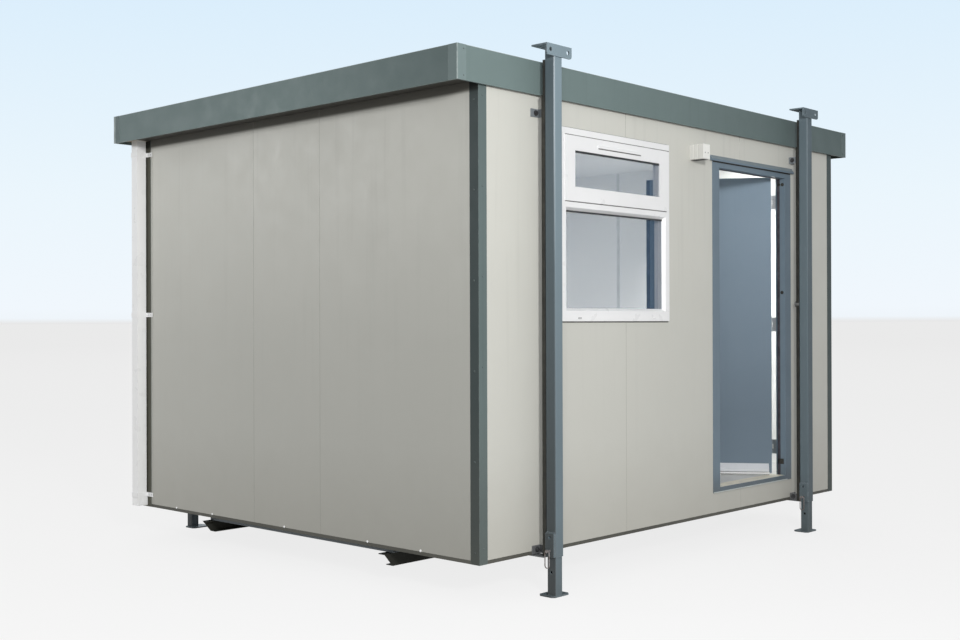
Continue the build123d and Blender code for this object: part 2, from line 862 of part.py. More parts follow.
# Locking pins, one through the outer wall of each leg, each with a ring hanging from its end
ring_level = pin_level + pin_radius - pin_ring_bite + pin_ring_bar - pin_ring_length / 2
with BuildPart() as leg_pins:
    for outward, standoff in leg_rows.values():
        leg_y = outward * (half_width + standoff + leg_size / 2)
        for leg_x in leg_columns.values():
            side_x = leg_x - leg_size / 2
            pin_end = side_x - doubler_plate - pin_reach
            with BuildSketch(Plane.YZ.offset(pin_end)) as shank:
                with Locations((leg_y, pin_level)):
                    Circle(pin_radius)
            extrude(shank.sketch, amount=side_x + leg_wall - pin_end)
            with BuildSketch(Plane.YZ.offset(pin_end + pin_ring_bar)) as ring:
                with Locations((leg_y, ring_level)):
                    SlotOverall(pin_ring_length, pin_ring_width, rotation=90)
                    SlotOverall(
                        pin_ring_length - 2 * pin_ring_bar,
                        pin_ring_width - 2 * pin_ring_bar,
                        rotation=90,
                        mode=Mode.SUBTRACT,
                    )
            extrude(ring.sketch, amount=pin_ring_bar)
save(leg_pins, "leg_pins")


# ---------------------------------------------------------------- cleats between the legs and the walls
def cleat(leg_x, outward, standoff, column, low):
    """An angle cleat: a flange bolted to the wall and a web out to the leg."""
    wall_y = outward * half_width
    web_side = 1 if cleat_web_offsets[column] > 0 else -1
    web_x = leg_x + cleat_web_offsets[column]
    flange_x = sorted((web_x, web_x - web_side * cleat_flange))
    add_block(
        sorted((web_x, web_x - web_side * cleat_plate)),
        sorted((wall_y, wall_y + outward * standoff)),
        (low, low + cleat_height),
    )
    add_block(
        flange_x,
        sorted((wall_y, wall_y + outward * cleat_plate)),
        (low, low + cleat_height),
    )
    return flange_x


top_cleat_level = ceiling - top_cleat_below_ceiling - cleat_height / 2
bottom_cleat_level = base_clearance + bottom_cleat_rise - cleat_height / 2
with BuildPart() as leg_cleats:
    for outward, standoff in leg_rows.values():
        for column, leg_x in leg_columns.items():
            cleat(leg_x, outward, standoff, column, top_cleat_level)
            flange_x = cleat(leg_x, outward, standoff, column, bottom_cleat_level)
            # Tongue that carries the base from below
            tongue_y = outward * half_width
            add_block(
                flange_x,
                sorted((tongue_y - outward * cleat_tongue, tongue_y + outward * standoff)),
                (base_clearance - cleat_plate, base_clearance),
            )
save(leg_cleats, "leg_cleats")

# ---------------------------------------------------------------- rainwater pipe
with BuildPart() as downpipe:
    pipe_z = (base_clearance + pipe_foot_gap, gutter_bottom)
    add_block(pipe_x, pipe_y, pipe_z)
    # The shoe at the foot is stepped towards the wall
    add_block(
        (pipe_x[0], pipe_x[1] + pipe_shoe_step), pipe_y, (pipe_z[0], pipe_z[0] + pipe_shoe_height)
    )
    add_block(
        (pipe_x[0] + pipe_wall, pipe_x[1] - pipe_wall),
        (pipe_y[0] + pipe_wall, pipe_y[1] - pipe_wall),
        pipe_z,
        mode=Mode.SUBTRACT,
    )
save(downpipe, "downpipe")

# The clips screw down over the corner trim, so their backs lie on its face
clip_back = -half_length - trim_sheet
clip_levels = (
    base_clearance + pipe_clip_foot_rise,
    base_clearance + pipe_clip_middle_rise,
    ceiling - pipe_clip_below_ceiling - pipe_clip_height,
)
with BuildPart() as pipe_clips:
    for clip_level in clip_levels:
        clip_z = (clip_level, clip_level + pipe_clip_height)
        add_block(
            (pipe_x[0] - pipe_clip_sheet, clip_back),
            (pipe_y[0] - pipe_clip_sheet, pipe_y[1] + pipe_clip_sheet),
            clip_z,
        )
        add_block(
            (clip_back - pipe_clip_sheet, clip_back),
            (pipe_y[0] - pipe_clip_ear, pipe_y[1] + pipe_clip_sheet),
            clip_z,
        )
        add_block(pipe_x, pipe_y, clip_z, mode=Mode.SUBTRACT)
save(pipe_clips, "pipe_clips")

# ---------------------------------------------------------------- cable inlet
inlet_x = (door_x[0] - inlet_door_gap - inlet_width, door_x[0] - inlet_door_gap)
inlet_z = (ceiling - inlet_below_ceiling - inlet_height, ceiling - inlet_below_ceiling)
inlet_middle = ((inlet_x[0] + inlet_x[1]) / 2, (inlet_z[0] + inlet_z[1]) / 2)
with BuildPart() as cable_inlet:
    add_block(inlet_x, (outer_face - inlet_depth, outer_face), inlet_z)
    chamfer(cable_inlet.faces().sort_by(Axis.Y)[0].edges(), inlet_edge)
    for distance in inlet_grooves:
        with BuildSketch(Plane.XZ.offset(-outer_face + distance - inlet_groove_width / 2)):
            with Locations(inlet_middle):
                Rectangle(inlet_width, inlet_height)
                Rectangle(
                    inlet_width - 2 * inlet_groove_depth,
                    inlet_height - 2 * inlet_groove_depth,
                    mode=Mode.SUBTRACT,
                )
        extrude(amount=inlet_groove_width, mode=Mode.SUBTRACT)
save(cable_inlet, "cable_inlet")
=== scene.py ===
import json
import math
import bpy
import bmesh
from mathutils import Matrix, Vector


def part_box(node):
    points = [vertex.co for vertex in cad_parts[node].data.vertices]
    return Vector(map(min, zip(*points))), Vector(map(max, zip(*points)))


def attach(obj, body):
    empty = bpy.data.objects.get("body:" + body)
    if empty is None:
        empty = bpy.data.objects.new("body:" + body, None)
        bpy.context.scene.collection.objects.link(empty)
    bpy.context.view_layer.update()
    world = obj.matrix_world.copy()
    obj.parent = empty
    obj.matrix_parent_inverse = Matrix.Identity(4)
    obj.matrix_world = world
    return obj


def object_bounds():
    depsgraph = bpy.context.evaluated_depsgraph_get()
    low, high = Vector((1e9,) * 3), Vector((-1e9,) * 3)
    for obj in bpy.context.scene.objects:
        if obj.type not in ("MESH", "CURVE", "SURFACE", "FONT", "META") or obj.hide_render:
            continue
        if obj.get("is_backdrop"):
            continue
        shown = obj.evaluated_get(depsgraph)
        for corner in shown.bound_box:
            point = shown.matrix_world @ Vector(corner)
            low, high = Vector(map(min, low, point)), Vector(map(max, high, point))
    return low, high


# Looks and small fittings of a portable site cabin on jack legs.
# Metres, +Z up, the door and the window face -Y. The cabin's own sizes come from the frame.

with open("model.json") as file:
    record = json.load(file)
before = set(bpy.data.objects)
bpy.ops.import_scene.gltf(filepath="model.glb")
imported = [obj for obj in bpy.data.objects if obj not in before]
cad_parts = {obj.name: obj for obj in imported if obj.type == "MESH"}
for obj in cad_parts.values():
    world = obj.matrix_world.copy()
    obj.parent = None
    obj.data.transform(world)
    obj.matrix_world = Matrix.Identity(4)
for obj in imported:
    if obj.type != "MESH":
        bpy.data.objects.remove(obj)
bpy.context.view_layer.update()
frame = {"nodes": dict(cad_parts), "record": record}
nodes = frame["nodes"]
scene = bpy.context.scene
scene.view_settings.view_transform = "Standard"


# ---------------------------------------------------------------- finishes

class Finish:
    """One procedural finish: a Principled shader and the nodes that feed it."""

    def __init__(self, name, rough=0.5, metal=0.0):
        self.material = bpy.data.materials.new(name)
        self.material.use_nodes = True
        self.tree = self.material.node_tree
        self.tree.nodes.clear()
        self.shader = self.add("ShaderNodeBsdfPrincipled")
        self.shader.inputs["Roughness"].default_value = rough
        self.shader.inputs["Metallic"].default_value = metal
        self.output = self.add("ShaderNodeOutputMaterial")
        self.link(self.shader.outputs["BSDF"], self.output.inputs["Surface"])
        self.place = self.add("ShaderNodeTexCoord").outputs["Object"]
        split = self.add("ShaderNodeSeparateXYZ")
        self.link(self.place, split.inputs[0])
        self.x, self.y, self.z = split.outputs

    def add(self, kind, **values):
        node = self.tree.nodes.new(kind)
        for key, value in values.items():
            setattr(node, key, value)
        return node

    def link(self, source, target):
        self.tree.links.new(source, target)

    def feed(self, socket, value):
        """Links a socket to another one, or sets it to a number or a colour."""
        if isinstance(value, bpy.types.NodeSocket):
            self.link(value, socket)
        elif isinstance(value, (tuple, list)) and len(value) == 3:
            socket.default_value = (*value, 1.0)
        else:
            socket.default_value = value

    def stretched(self, factors):
        """The piece's own coordinates, scaled along each axis."""
        node = self.add("ShaderNodeMapping")
        node.inputs["Scale"].default_value = factors
        self.link(self.place, node.inputs["Vector"])
        return node.outputs[0]

    def noise(self, scale, detail=3.0, stretch=(1, 1, 1)):
        node = self.add("ShaderNodeTexNoise")
        node.inputs["Scale"].default_value = scale
        node.inputs["Detail"].default_value = detail
        node.inputs["Roughness"].default_value = 0.55
        self.link(self.stretched(stretch), node.inputs["Vector"])
        return node.outputs["Fac"]

    def spots(self, scale):
        node = self.add("ShaderNodeTexVoronoi")
        node.inputs["Scale"].default_value = scale
        self.link(self.place, node.inputs["Vector"])
        return node.outputs["Distance"]

    def span(self, value, low, high, start=0.0, end=1.0):
        """Runs from start to end while the value runs from low to high."""
        node = self.add("ShaderNodeMapRange", clamp=True)
        self.feed(node.inputs["Value"], value)
        node.inputs["From Min"].default_value = low
        node.inputs["From Max"].default_value = high
        node.inputs["To Min"].default_value = start
        node.inputs["To Max"].default_value = end
        return node.outputs["Result"]

    def calc(self, operation, a, b):
        node = self.add("ShaderNodeMath", operation=operation)
        self.feed(node.inputs[0], a)
        self.feed(node.inputs[1], b)
        return node.outputs[0]

    def blend(self, amount, a, b):
        node = self.add("ShaderNodeMix", data_type="RGBA")
        self.feed(node.inputs[0], amount)
        self.feed(node.inputs[6], a)
        self.feed(node.inputs[7], b)
        return node.outputs[2]

    def worn_edge(self, radius):
        """1 along sharp edges and 0 on the flats."""
        soft = self.add("ShaderNodeBevel", samples=4)
        soft.inputs["Radius"].default_value = radius
        true = self.add("ShaderNodeNewGeometry")
        dot = self.add("ShaderNodeVectorMath", operation="DOT_PRODUCT")
        self.link(soft.outputs[0], dot.inputs[0])
        self.link(true.outputs["Normal"], dot.inputs[1])
        return self.span(self.calc("SUBTRACT", 1.0, dot.outputs["Value"]), 0.02, 0.22)

    def bump(self, height, strength, depth):
        node = self.add("ShaderNodeBump")
        node.inputs["Strength"].default_value = strength
        node.inputs["Distance"].default_value = depth
        self.link(height, node.inputs["Height"])
        self.link(node.outputs[0], self.shader.inputs["Normal"])

    def colour(self, value):
        self.feed(self.shader.inputs["Base Color"], value)

    def tone(self):
        """The colour that the finish has so far."""
        return self.shader.inputs["Base Color"].links[0].from_socket

    def roughness(self, value):
        self.feed(self.shader.inputs["Roughness"], value)


def shade(colour, factor):
    return tuple(min(1.0, c * factor) for c in colour)


def facing(f, axis):
    """The surface's normal along axis 0, 1 or 2."""
    split = f.add("ShaderNodeSeparateXYZ")
    f.link(f.add("ShaderNodeNewGeometry").outputs["Normal"], split.inputs[0])
    return split.outputs[axis]


def left_faces(f, amount=1.0):
    """The amount on faces that look left, and 0 on the others."""
    return f.span(facing(f, 0), -0.4, -0.8, 0.0, amount)


def painted(name, colour, rough, blotch=0.05, streak=0.05, dirt=None, wear=None,
            grain=(220.0, 0.12, 0.0006), shade_by_height=None, shine=0.5, side_shade=None):
    """Paint on sheet: soft blotches, rain streaks, dirt low down, worn edges, a fine grain and,
    where given, painted shade.

    fade is painted shade (low, high, tint): the tint at the low level, the paint's colour at the
    high one.
    lean is painted shade: the share of the colour left at the right end, and on left faces near and
    far.
    dirt is (low, high, amount, tint), wear (radius, amount, tint), grain (scale, strength, depth).
    """
    f = Finish(name, rough)
    f.shader.inputs["Specular IOR Level"].default_value = shine
    cloud = f.span(f.noise(1.6, 4.0), 0.3, 0.7)
    tone = f.blend(cloud, shade(colour, 1 - blotch), shade(colour, 1 + blotch))
    runs = f.noise(26.0, 2.0, (1, 1, 0.035))
    tone = f.blend(f.span(runs, 0.56, 0.78, 0.0, streak * 4), tone, shade(colour, 0.62))
    # painted shade, darker towards the low level
    if shade_by_height:
        low, high, tint = shade_by_height
        tone = f.blend(f.span(f.z, low, high, 1.0, 0.0), tone, tint)
    # painted shade, darker towards the right end and on faces that look left
    if side_shade:
        right, left_near, left_far = side_shade
        along = f.span(f.x, -1.8, 2.0)
        tone = f.blend(along, tone, shade(colour, right))
        side_shade_tone = f.blend(along, shade(colour, left_near), shade(colour, left_far))
        tone = f.blend(left_faces(f), tone, side_shade_tone)
    if dirt:
        low, high, amount, tint = dirt
        ragged = f.calc("MULTIPLY", f.calc("SUBTRACT", f.noise(7.0, 5.0), 0.5), 0.22)
        tone = f.blend(f.span(f.calc("ADD", f.z, ragged), low, high, amount, 0.0), tone, tint)
    if wear:
        radius, amount, tint = wear
        patches = f.span(f.noise(38.0, 4.0), 0.42, 0.62, 0.15, amount)
        tone = f.blend(f.calc("MULTIPLY", f.worn_edge(radius), patches), tone, tint)
    f.colour(tone)
    scale, strength, depth = grain
    f.roughness(f.span(f.noise(9.0, 3.0), 0.3, 0.7, rough - 0.07, rough + 0.09))
    f.bump(f.noise(scale, 2.0), strength, depth)
    return f


CREAM = (0.624, 0.621, 0.569)
LINING = (0.74, 0.74, 0.72)
GREEN = (0.121, 0.157, 0.154)
FASCIA_GREEN = (0.172, 0.228, 0.222)
COVER_GREEN = (0.200, 0.258, 0.255)
GREEN_EDGE = (0.40, 0.45, 0.44)
STEEL_BLUE = (0.248, 0.324, 0.365)
FRAME_BLUE = (0.145, 0.196, 0.240)
LEAF_BLUE = (0.253, 0.331, 0.407)
BLUE_EDGE = (0.36, 0.42, 0.47)
WHITE = (0.86, 0.86, 0.86)
SOFFIT_SHADE = (0.030, 0.028, 0.022)
COARSE_GRAIN = (90.0, 0.3, 0.001)


def inside_room(f):
    """1 on what faces the room, 0 outside."""
    room_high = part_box("floor_deck")[1]
    wide = f.calc("LESS_THAN", f.calc("ABSOLUTE", f.x, 0.0), room_high.x + 0.006)
    deep = f.calc("LESS_THAN", f.calc("ABSOLUTE", f.y, 0.0), room_high.y + 0.006)
    return f.calc("MULTIPLY", wide, deep)


def painted_eave_shadow(f, tone, tint):
    """A painted shadow close under the eaves of the left end."""
    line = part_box("front_panel_left")[1].z - 0.047
    above = f.span(f.z, line - 0.008, line + 0.008, 0.0, 0.8)
    return f.blend(f.calc("MULTIPLY", left_faces(f), above), tone, tint)


def wall_paint():
    """Cream paint outside and a white lining inside; outside, painted shade darker low down and on
    the left end, and a painted shadow under its eaves.
    """
    # painted shade: darker low down
    f = painted("panel_paint", CREAM, 0.5, 0.025, 0.035, shine=0.35, grain=(320.0, 0.10, 0.0004),
                dirt=(0.20, 0.75, 0.30, (0.37, 0.345, 0.29)), shade_by_height=(0.3, 2.5, shade(CREAM, 0.90)))
    outside = f.tone()
    # painted shade on the left end, deeper low down and towards the front
    left_end_shade = left_faces(f)
    for grey in (f.span(f.z, 1.3, 2.5, 0.16, 0.02), f.span(f.y, -1.5, 1.2, 0.27, 0.0)):
        outside = f.blend(f.calc("MULTIPLY", left_end_shade, grey), outside, (0.02, 0.02, 0.015))
    # painted shadow under the eaves of the left end
    outside = painted_eave_shadow(f, outside, (0.030, 0.025, 0.014))
    f.colour(f.blend(inside_room(f), outside, LINING))
    return f.material


def trim_paint():
    """Corner trim paint, with painted shade: darker to the right and on left faces, browner on the
    left end beside the rainwater pipe, and a painted shadow under the eaves.
    """
    f = painted("trim_paint", GREEN, 0.5, 0.05, 0.05, wear=(0.004, 0.55, (0.26, 0.30, 0.29)),
                dirt=(0.2, 1.0, 0.42, (0.085, 0.085, 0.072)), shine=0.2, side_shade=(0.47, 0.31, 0.45))
    # painted shade on the left end beside the rainwater pipe
    far = f.calc("MULTIPLY", left_faces(f), f.span(f.y, 0.8, 1.4))
    pipe_shaded_tone = f.blend(far, f.tone(), (0.098, 0.096, 0.074))
    f.colour(painted_eave_shadow(f, pipe_shaded_tone, (0.008, 0.009, 0.008)))
    return f.material


def fascia_paint(name="fascia_paint", colour=FASCIA_GREEN):
    """Fascia paint, with painted shade: darker to the right, darker on the left end and more so
    towards the front corner.
    """
    f = painted(name, colour, 0.48, 0.05, 0.04, wear=(0.003, 0.6, GREEN_EDGE), shine=0.2,
                side_shade=(0.60, 0.80, 0.80))
    # painted shade on the left end, deeper towards the front corner
    near = f.calc("MULTIPLY", left_faces(f), f.span(f.y, -0.2, -1.5, 0.0, 0.42))
    f.colour(f.blend(near, f.tone(), (0.01, 0.013, 0.014)))
    return f.material


def cover_paint():
    """Corner covers, with painted shade on the left faces and to the right, and a painted highlight
    along each corner.
    """
    low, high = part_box("fascia_corners")
    f = painted("corner_cover_paint", COVER_GREEN, 0.48, 0.05, 0.10, wear=(0.003, 0.6, GREEN_EDGE),
                shine=0.2, side_shade=(0.60, 0.58, 0.70))
    # painted highlight along the corner, broken into patches
    fold = f.span(f.noise(20.0, 3.0), 0.3, 0.6, 0.2, 0.55)
    for coordinate, face in ((f.x, high.x), (f.y, -low.y)):
        outward = f.calc("ABSOLUTE", coordinate, 0.0)
        fold = f.calc("MULTIPLY", fold, f.span(outward, face - 0.007, face - 0.002))
    f.colour(f.blend(fold, f.tone(), (0.50, 0.56, 0.55)))
    return f.material


def leg_paint():
    """Leg paint, with painted shade: lighter towards the top, darker to the right and on left
    faces, browner low down on the left faces; and a painted highlight at the upper corners.
    """
    f = painted("leg_paint", STEEL_BLUE, 0.46, 0.07, 0.08, wear=(0.006, 0.6, (0.42, 0.47, 0.50)),
                dirt=(0.0, 0.42, 0.42, (0.075, 0.080, 0.075)), grain=(140.0, 0.22, 0.0008),
                shine=0.2, shade_by_height=(0.8, 2.9, shade(STEEL_BLUE, 0.62)), side_shade=(0.30, 0.325, 0.58))
    near = f.span(f.x, 0.0, -1.0, 0.25, 1.0)
    # painted shade low down on the left faces, deeper towards the left end
    low_side_shade = f.calc("MULTIPLY", left_faces(f), near)
    low_side_shade = f.calc("MULTIPLY", f.span(f.z, 0.5, 1.9, 0.46, 0.0), low_side_shade)
    tone = f.blend(low_side_shade, f.tone(), (0.034, 0.028, 0.022))
    # painted highlight on the rounded corners, high up and towards the left end
    corner = f.span(f.calc("MULTIPLY", facing(f, 0), facing(f, 1)), 0.10, 0.35)
    corner_highlight_height = f.calc("MULTIPLY", near, f.span(f.z, 1.7, 2.4, 0.0, 0.38))
    f.colour(f.blend(f.calc("MULTIPLY", corner, corner_highlight_height), tone, (0.56, 0.62, 0.66)))
    return f.material


def cleat_paint():
    # painted shade: darker on the lower cleats
    return painted("cleat_paint", (0.205, 0.225, 0.240), 0.5, 0.10, 0.05, shine=0.2,
                   wear=(0.004, 0.5, (0.34, 0.37, 0.39)),
                   shade_by_height=(0.3, 2.4, (0.120, 0.122, 0.126))).material


def frame_paint():
    return painted("door_frame_paint", FRAME_BLUE, 0.42, 0.04, 0.03, wear=(0.003, 0.5, BLUE_EDGE),
                   dirt=(0.34, 0.52, 0.55, (0.075, 0.082, 0.080)), shine=0.3).material


def leaf_paint():
    # painted shade: the leaf darker towards its foot
    return painted("door_leaf_paint", LEAF_BLUE, 0.58, 0.02, 0.03, wear=(0.003, 0.5, BLUE_EDGE),
                   shade_by_height=(0.8, 2.4, shade(LEAF_BLUE, 0.586)), shine=0.14).material


def canopy_paint():
    """Paler on faces that look up, and painted shade on faces that look down."""
    f = painted("canopy_paint", FRAME_BLUE, 0.45, 0.05, 0.0, shine=0.3,
                wear=(0.003, 0.5, BLUE_EDGE))
    tone = f.blend(f.span(facing(f, 2), 0.2, 0.8), f.tone(), (0.22, 0.25, 0.255))
    # painted shade on the underside
    f.colour(f.blend(f.span(facing(f, 2), -0.2, -0.8), tone, (0.035, 0.040, 0.048)))
    return f.material


def dark_paint():
    return painted("base_paint", (0.096, 0.094, 0.080), 0.6, 0.18, 0.05, shine=0.25,
                   grain=COARSE_GRAIN, wear=(0.004, 0.5, (0.10, 0.10, 0.09)),
                   dirt=(0.1, 0.3, 0.4, (0.07, 0.066, 0.054))).material


def skid_paint():
    return painted("skid_paint", (0.024, 0.024, 0.019), 0.7, 0.2, 0.0, shine=0.2,
                   grain=COARSE_GRAIN, wear=(0.004, 0.4, (0.06, 0.06, 0.055))).material


def rail_paint():
    return painted("cross_rail_paint", (0.190, 0.212, 0.226), 0.55, 0.1, 0.0, shine=0.3,
                   grain=COARSE_GRAIN, wear=(0.004, 0.5, (0.22, 0.24, 0.25))).material


def roof_paint():
    """Grey sheet on top, a dark underside under the overhang made near-black as painted shade, and
    a white ceiling over the room.
    """
    f = painted("roof_paint", (0.40, 0.42, 0.41), 0.5, 0.08, 0.0, grain=(200.0, 0.15, 0.0005))
    # painted shade: the soffit under the overhang near-black
    below = f.blend(inside_room(f), SOFFIT_SHADE, (0.78, 0.78, 0.76))
    f.colour(f.blend(f.span(facing(f, 2), -0.4, -0.6), f.tone(), below))
    return f.material


def gutter_paint():
    return painted("gutter_paint", (0.34, 0.35, 0.35), 0.45, 0.07, 0.04).material


def under_paint():
    return painted("underside_paint", (0.05, 0.05, 0.05), 0.6, 0.15, 0.0).material


def powder_white():
    return painted("powder_white", (0.585, 0.60, 0.625), 0.4, 0.03, 0.03,
                   grain=(500.0, 0.1, 0.0003), wear=(0.003, 0.4, (0.60, 0.60, 0.60))).material


def white_plastic(name="white_plastic", colour=WHITE, rough=0.32, side=1.0):
    """Plastic with a little dust; side is the share of light left on faces that look left."""
    f = Finish(name, rough)
    tone = f.blend(f.span(f.noise(3.0, 4.0), 0.3, 0.7), shade(colour, 0.97), shade(colour, 1.02))
    dust = f.span(f.noise(30.0, 5.0, (1, 1, 0.25)), 0.55, 0.8, 0.0, 0.07)
    tone = f.blend(dust, tone, shade(colour, 0.78))
    tone = f.blend(f.calc("MULTIPLY", f.worn_edge(0.002), 0.3), tone, shade(colour, 0.70))
    if side < 1.0:
        tone = f.blend(left_faces(f, 1.0 - side), tone, (0.02, 0.02, 0.02))
    f.colour(tone)
    f.roughness(f.span(f.noise(12.0, 3.0), 0.3, 0.7, rough - 0.06, rough + 0.10))
    f.bump(f.noise(400.0, 2.0), 0.05, 0.0003)
    return f.material


def clear_glass():
    f = Finish("window_glass", 0.05)
    f.colour(f.blend(f.span(f.noise(1.5, 3.0), 0.3, 0.7), (0.03, 0.10, 0.20), (0.05, 0.12, 0.23)))
    f.roughness(f.span(f.noise(14.0, 4.0, (1, 1, 0.4)), 0.4, 0.75, 0.03, 0.12))
    f.shader.inputs["Alpha"].default_value = 0.28
    f.bump(f.noise(2.0, 1.0), 0.02, 0.001)
    return f.material


def zinc(name="zinc_plate", grimy=0.0):
    """Spangled zinc; grimy is how far grime hides it low down."""
    f = Finish(name, 0.42, 0.35)
    tone = f.blend(f.span(f.spots(160.0), 0.0, 0.7), (0.46, 0.47, 0.48), (0.66, 0.67, 0.68))
    tone = f.blend(f.span(f.noise(40.0, 5.0), 0.58, 0.72, 0.0, 0.6), tone, (0.24, 0.20, 0.17))
    if grimy:
        tone = f.blend(f.span(f.z, 0.6, 2.0, grimy, 0.0), tone, (0.115, 0.150, 0.165))
    f.colour(tone)
    f.roughness(f.span(f.noise(50.0, 3.0), 0.3, 0.7, 0.3, 0.5))
    f.bump(f.noise(220.0, 3.0), 0.15, 0.0004)
    return f.material


def stained_zinc():
    f = Finish("pin_zinc", 0.5, 0.55)
    rust = f.span(f.noise(55.0, 6.0), 0.40, 0.62)
    f.colour(f.blend(rust, (0.34, 0.32, 0.32), (0.13, 0.095, 0.075)))
    f.roughness(f.span(rust, 0.0, 1.0, 0.4, 0.75))
    f.bump(f.noise(160.0, 4.0), 0.4, 0.0006)
    return f.material


def rubber(name="black_rubber_and_shade", colour=(0.018, 0.018, 0.019)):
    f = Finish(name, 0.62)
    f.colour(f.blend(f.span(f.noise(18.0, 4.0), 0.4, 0.7), colour, shade(colour, 2.2)))
    f.roughness(f.span(f.noise(60.0, 3.0), 0.3, 0.7, 0.5, 0.75))
    f.bump(f.noise(260.0, 2.0), 0.2, 0.0004)
    return f.material


def vinyl():
    f = Finish("floor_vinyl", 0.45)
    f.colour(f.blend(f.span(f.spots(240.0), 0.05, 0.35), (0.50, 0.50, 0.49), (0.60, 0.60, 0.585)))
    f.roughness(f.span(f.noise(6.0, 4.0), 0.3, 0.7, 0.38, 0.55))
    f.bump(f.noise(300.0, 2.0), 0.1, 0.0004)
    return f.material


def pale_wood():
    f = Finish("pale_timber", 0.6)
    ring = f.add("ShaderNodeTexWave", wave_type="BANDS", bands_direction="Z")
    ring.inputs["Scale"].default_value = 14.0
    ring.inputs["Distortion"].default_value = 6.0
    ring.inputs["Detail"].default_value = 3.0
    f.link(f.stretched((0.12, 2.0, 2.0)), ring.inputs["Vector"])
    tone = f.blend(ring.outputs["Fac"], (0.56, 0.48, 0.36), (0.44, 0.36, 0.25))
    wander = f.noise(3.0, 2.0, (0.25, 1, 1))
    f.colour(f.blend(f.span(wander, 0.4, 0.7, 0.0, 0.4), tone, (0.36, 0.31, 0.24)))
    f.roughness(f.span(f.noise(25.0, 3.0), 0.3, 0.7, 0.5, 0.7))
    f.bump(ring.outputs["Fac"], 0.2, 0.0006)
    return f.material


def sealant(name, colour):
    f = Finish(name, 0.55)
    f.colour(f.blend(f.span(f.noise(14.0, 4.0), 0.35, 0.7), colour, shade(colour, 0.82)))
    f.roughness(f.span(f.noise(30.0, 3.0), 0.3, 0.7, 0.48, 0.66))
    f.bump(f.noise(110.0, 3.0), 0.25, 0.0005)
    return f.material


PANEL = wall_paint()
TRIM = trim_paint()
FASCIA = fascia_paint()
COVER = cover_paint()
CAPPING = fascia_paint("capping_paint", (0.36, 0.41, 0.40))
LEG = leg_paint()
FRAME = frame_paint()
LEAF = leaf_paint()
CANOPY = canopy_paint()
BASE = dark_paint()
SKID = skid_paint()
RAIL = rail_paint()
PLASTIC = white_plastic()
PIPE = white_plastic("pipe_plastic", (0.93, 0.93, 0.925), 0.3)
INLET = white_plastic("inlet_plastic", (0.90, 0.895, 0.85), 0.45, 0.72)
GLASS = clear_glass()
ZINC = zinc()
HINGE = zinc("hinge_zinc", 0.85)
CLEAT = cleat_paint()
PIN = stained_zinc()
RUBBER_AND_SHADE = rubber()
POWDER = powder_white()
VINYL = vinyl()
WOOD = pale_wood()
ROOF = roof_paint()
GUTTER = gutter_paint()
UNDER = under_paint()
PACKING_AND_SHADE = rubber("packing_and_shade_strip", (0.0118, 0.0112, 0.0085))
GASKET = rubber("door_seal", (0.030, 0.027, 0.034))
STUB = rubber("stub_plastic", (0.10, 0.10, 0.098))
PALE_SEALANT = sealant("pale_sealant", (0.58, 0.62, 0.60))
JOINT_SEALANT = sealant("joint_sealant", (0.22, 0.215, 0.19))
WINDOW_SEALANT_AND_SHADOW = sealant("dark_sealant_and_shadow", (0.17, 0.17, 0.155))
CAP_GREY = rubber("drain_cap_grey", (0.42, 0.42, 0.42))
JOINT_STRIP = sealant("joint_strip", (0.60, 0.61, 0.60))
DARK_EDGE = rubber("leaf_edge_rubber_and_shadow", (0.030, 0.040, 0.062))
SEAL_GREY = rubber("grey_seal", (0.13, 0.125, 0.12))
SILL = sealant("threshold_plastic", (0.80, 0.755, 0.63))
FAINT_SEALANT = sealant("faint_joint_sealant", (0.40, 0.395, 0.35))
BOLT_BLACK = rubber("bolt_black", (0.022, 0.022, 0.023))

FINISH_OF_SLOT = {
    "panel_cream": PANEL, "trim_green": FASCIA, "steel_blue": LEG, "door_blue": FRAME,
    "frame_white": PLASTIC, "pipe_white": PIPE, "glass": GLASS, "aluminium": POWDER,
    "base_dark": BASE, "roof_sheet": ROOF, "gutter_steel": GUTTER, "floor_vinyl": VINYL,
    "floor_under": UNDER, "timber": WOOD, "hinge_steel": ZINC, "inlet_cream": INLET,
}
FINISH_OF_NODE = {
    "leg_pins": PIN, "corner_trims": TRIM, "door_leaf": LEAF, "door_canopy": CANOPY,
    "skid_front": SKID, "skid_rear": SKID, "cross_rail_left": RAIL, "cross_rail_right": RAIL,
    "fascia_corners": COVER, "roof_capping": CAPPING, "door_threshold": SILL,
    "hinge_leaf_plates": HINGE, "hinge_frame_plates": HINGE, "leg_cleats": CLEAT,
}
for part in frame["record"]["subparts"]:
    finish = FINISH_OF_NODE.get(part["node"], FINISH_OF_SLOT[part["material_slot"]])
    for place in nodes[part["node"]].material_slots:
        place.material = finish


# ---------------------------------------------------------------- camera

EYE = Vector((-6.2973, -5.6983, 1.4069))
YAW, PITCH, ROLL = 0.8204, 0.0019, -0.0030
FOCAL_LENGTH, SENSOR_WIDTH = 46.48, 36.0
FAR_END = 9000.0
level = math.cos(PITCH)
ahead = Vector((math.sin(YAW) * level, math.cos(YAW) * level, math.sin(PITCH)))
across = Vector((math.cos(YAW), -math.sin(YAW), 0.0))
upward = across.cross(ahead)
right = across * math.cos(ROLL) + upward * math.sin(ROLL)
top = upward * math.cos(ROLL) - across * math.sin(ROLL)
lens = bpy.data.cameras.new("camera")
lens.lens = FOCAL_LENGTH
lens.sensor_width = SENSOR_WIDTH
lens.clip_end = FAR_END
camera = bpy.data.objects.new("camera", lens)
scene.collection.objects.link(camera)
camera.matrix_world = Matrix((
    (right.x, top.x, -ahead.x, EYE.x),
    (right.y, top.y, -ahead.y, EYE.y),
    (right.z, top.z, -ahead.z, EYE.z),
    (0, 0, 0, 1)))
scene.camera = camera


# ---------------------------------------------------------------- stage and light

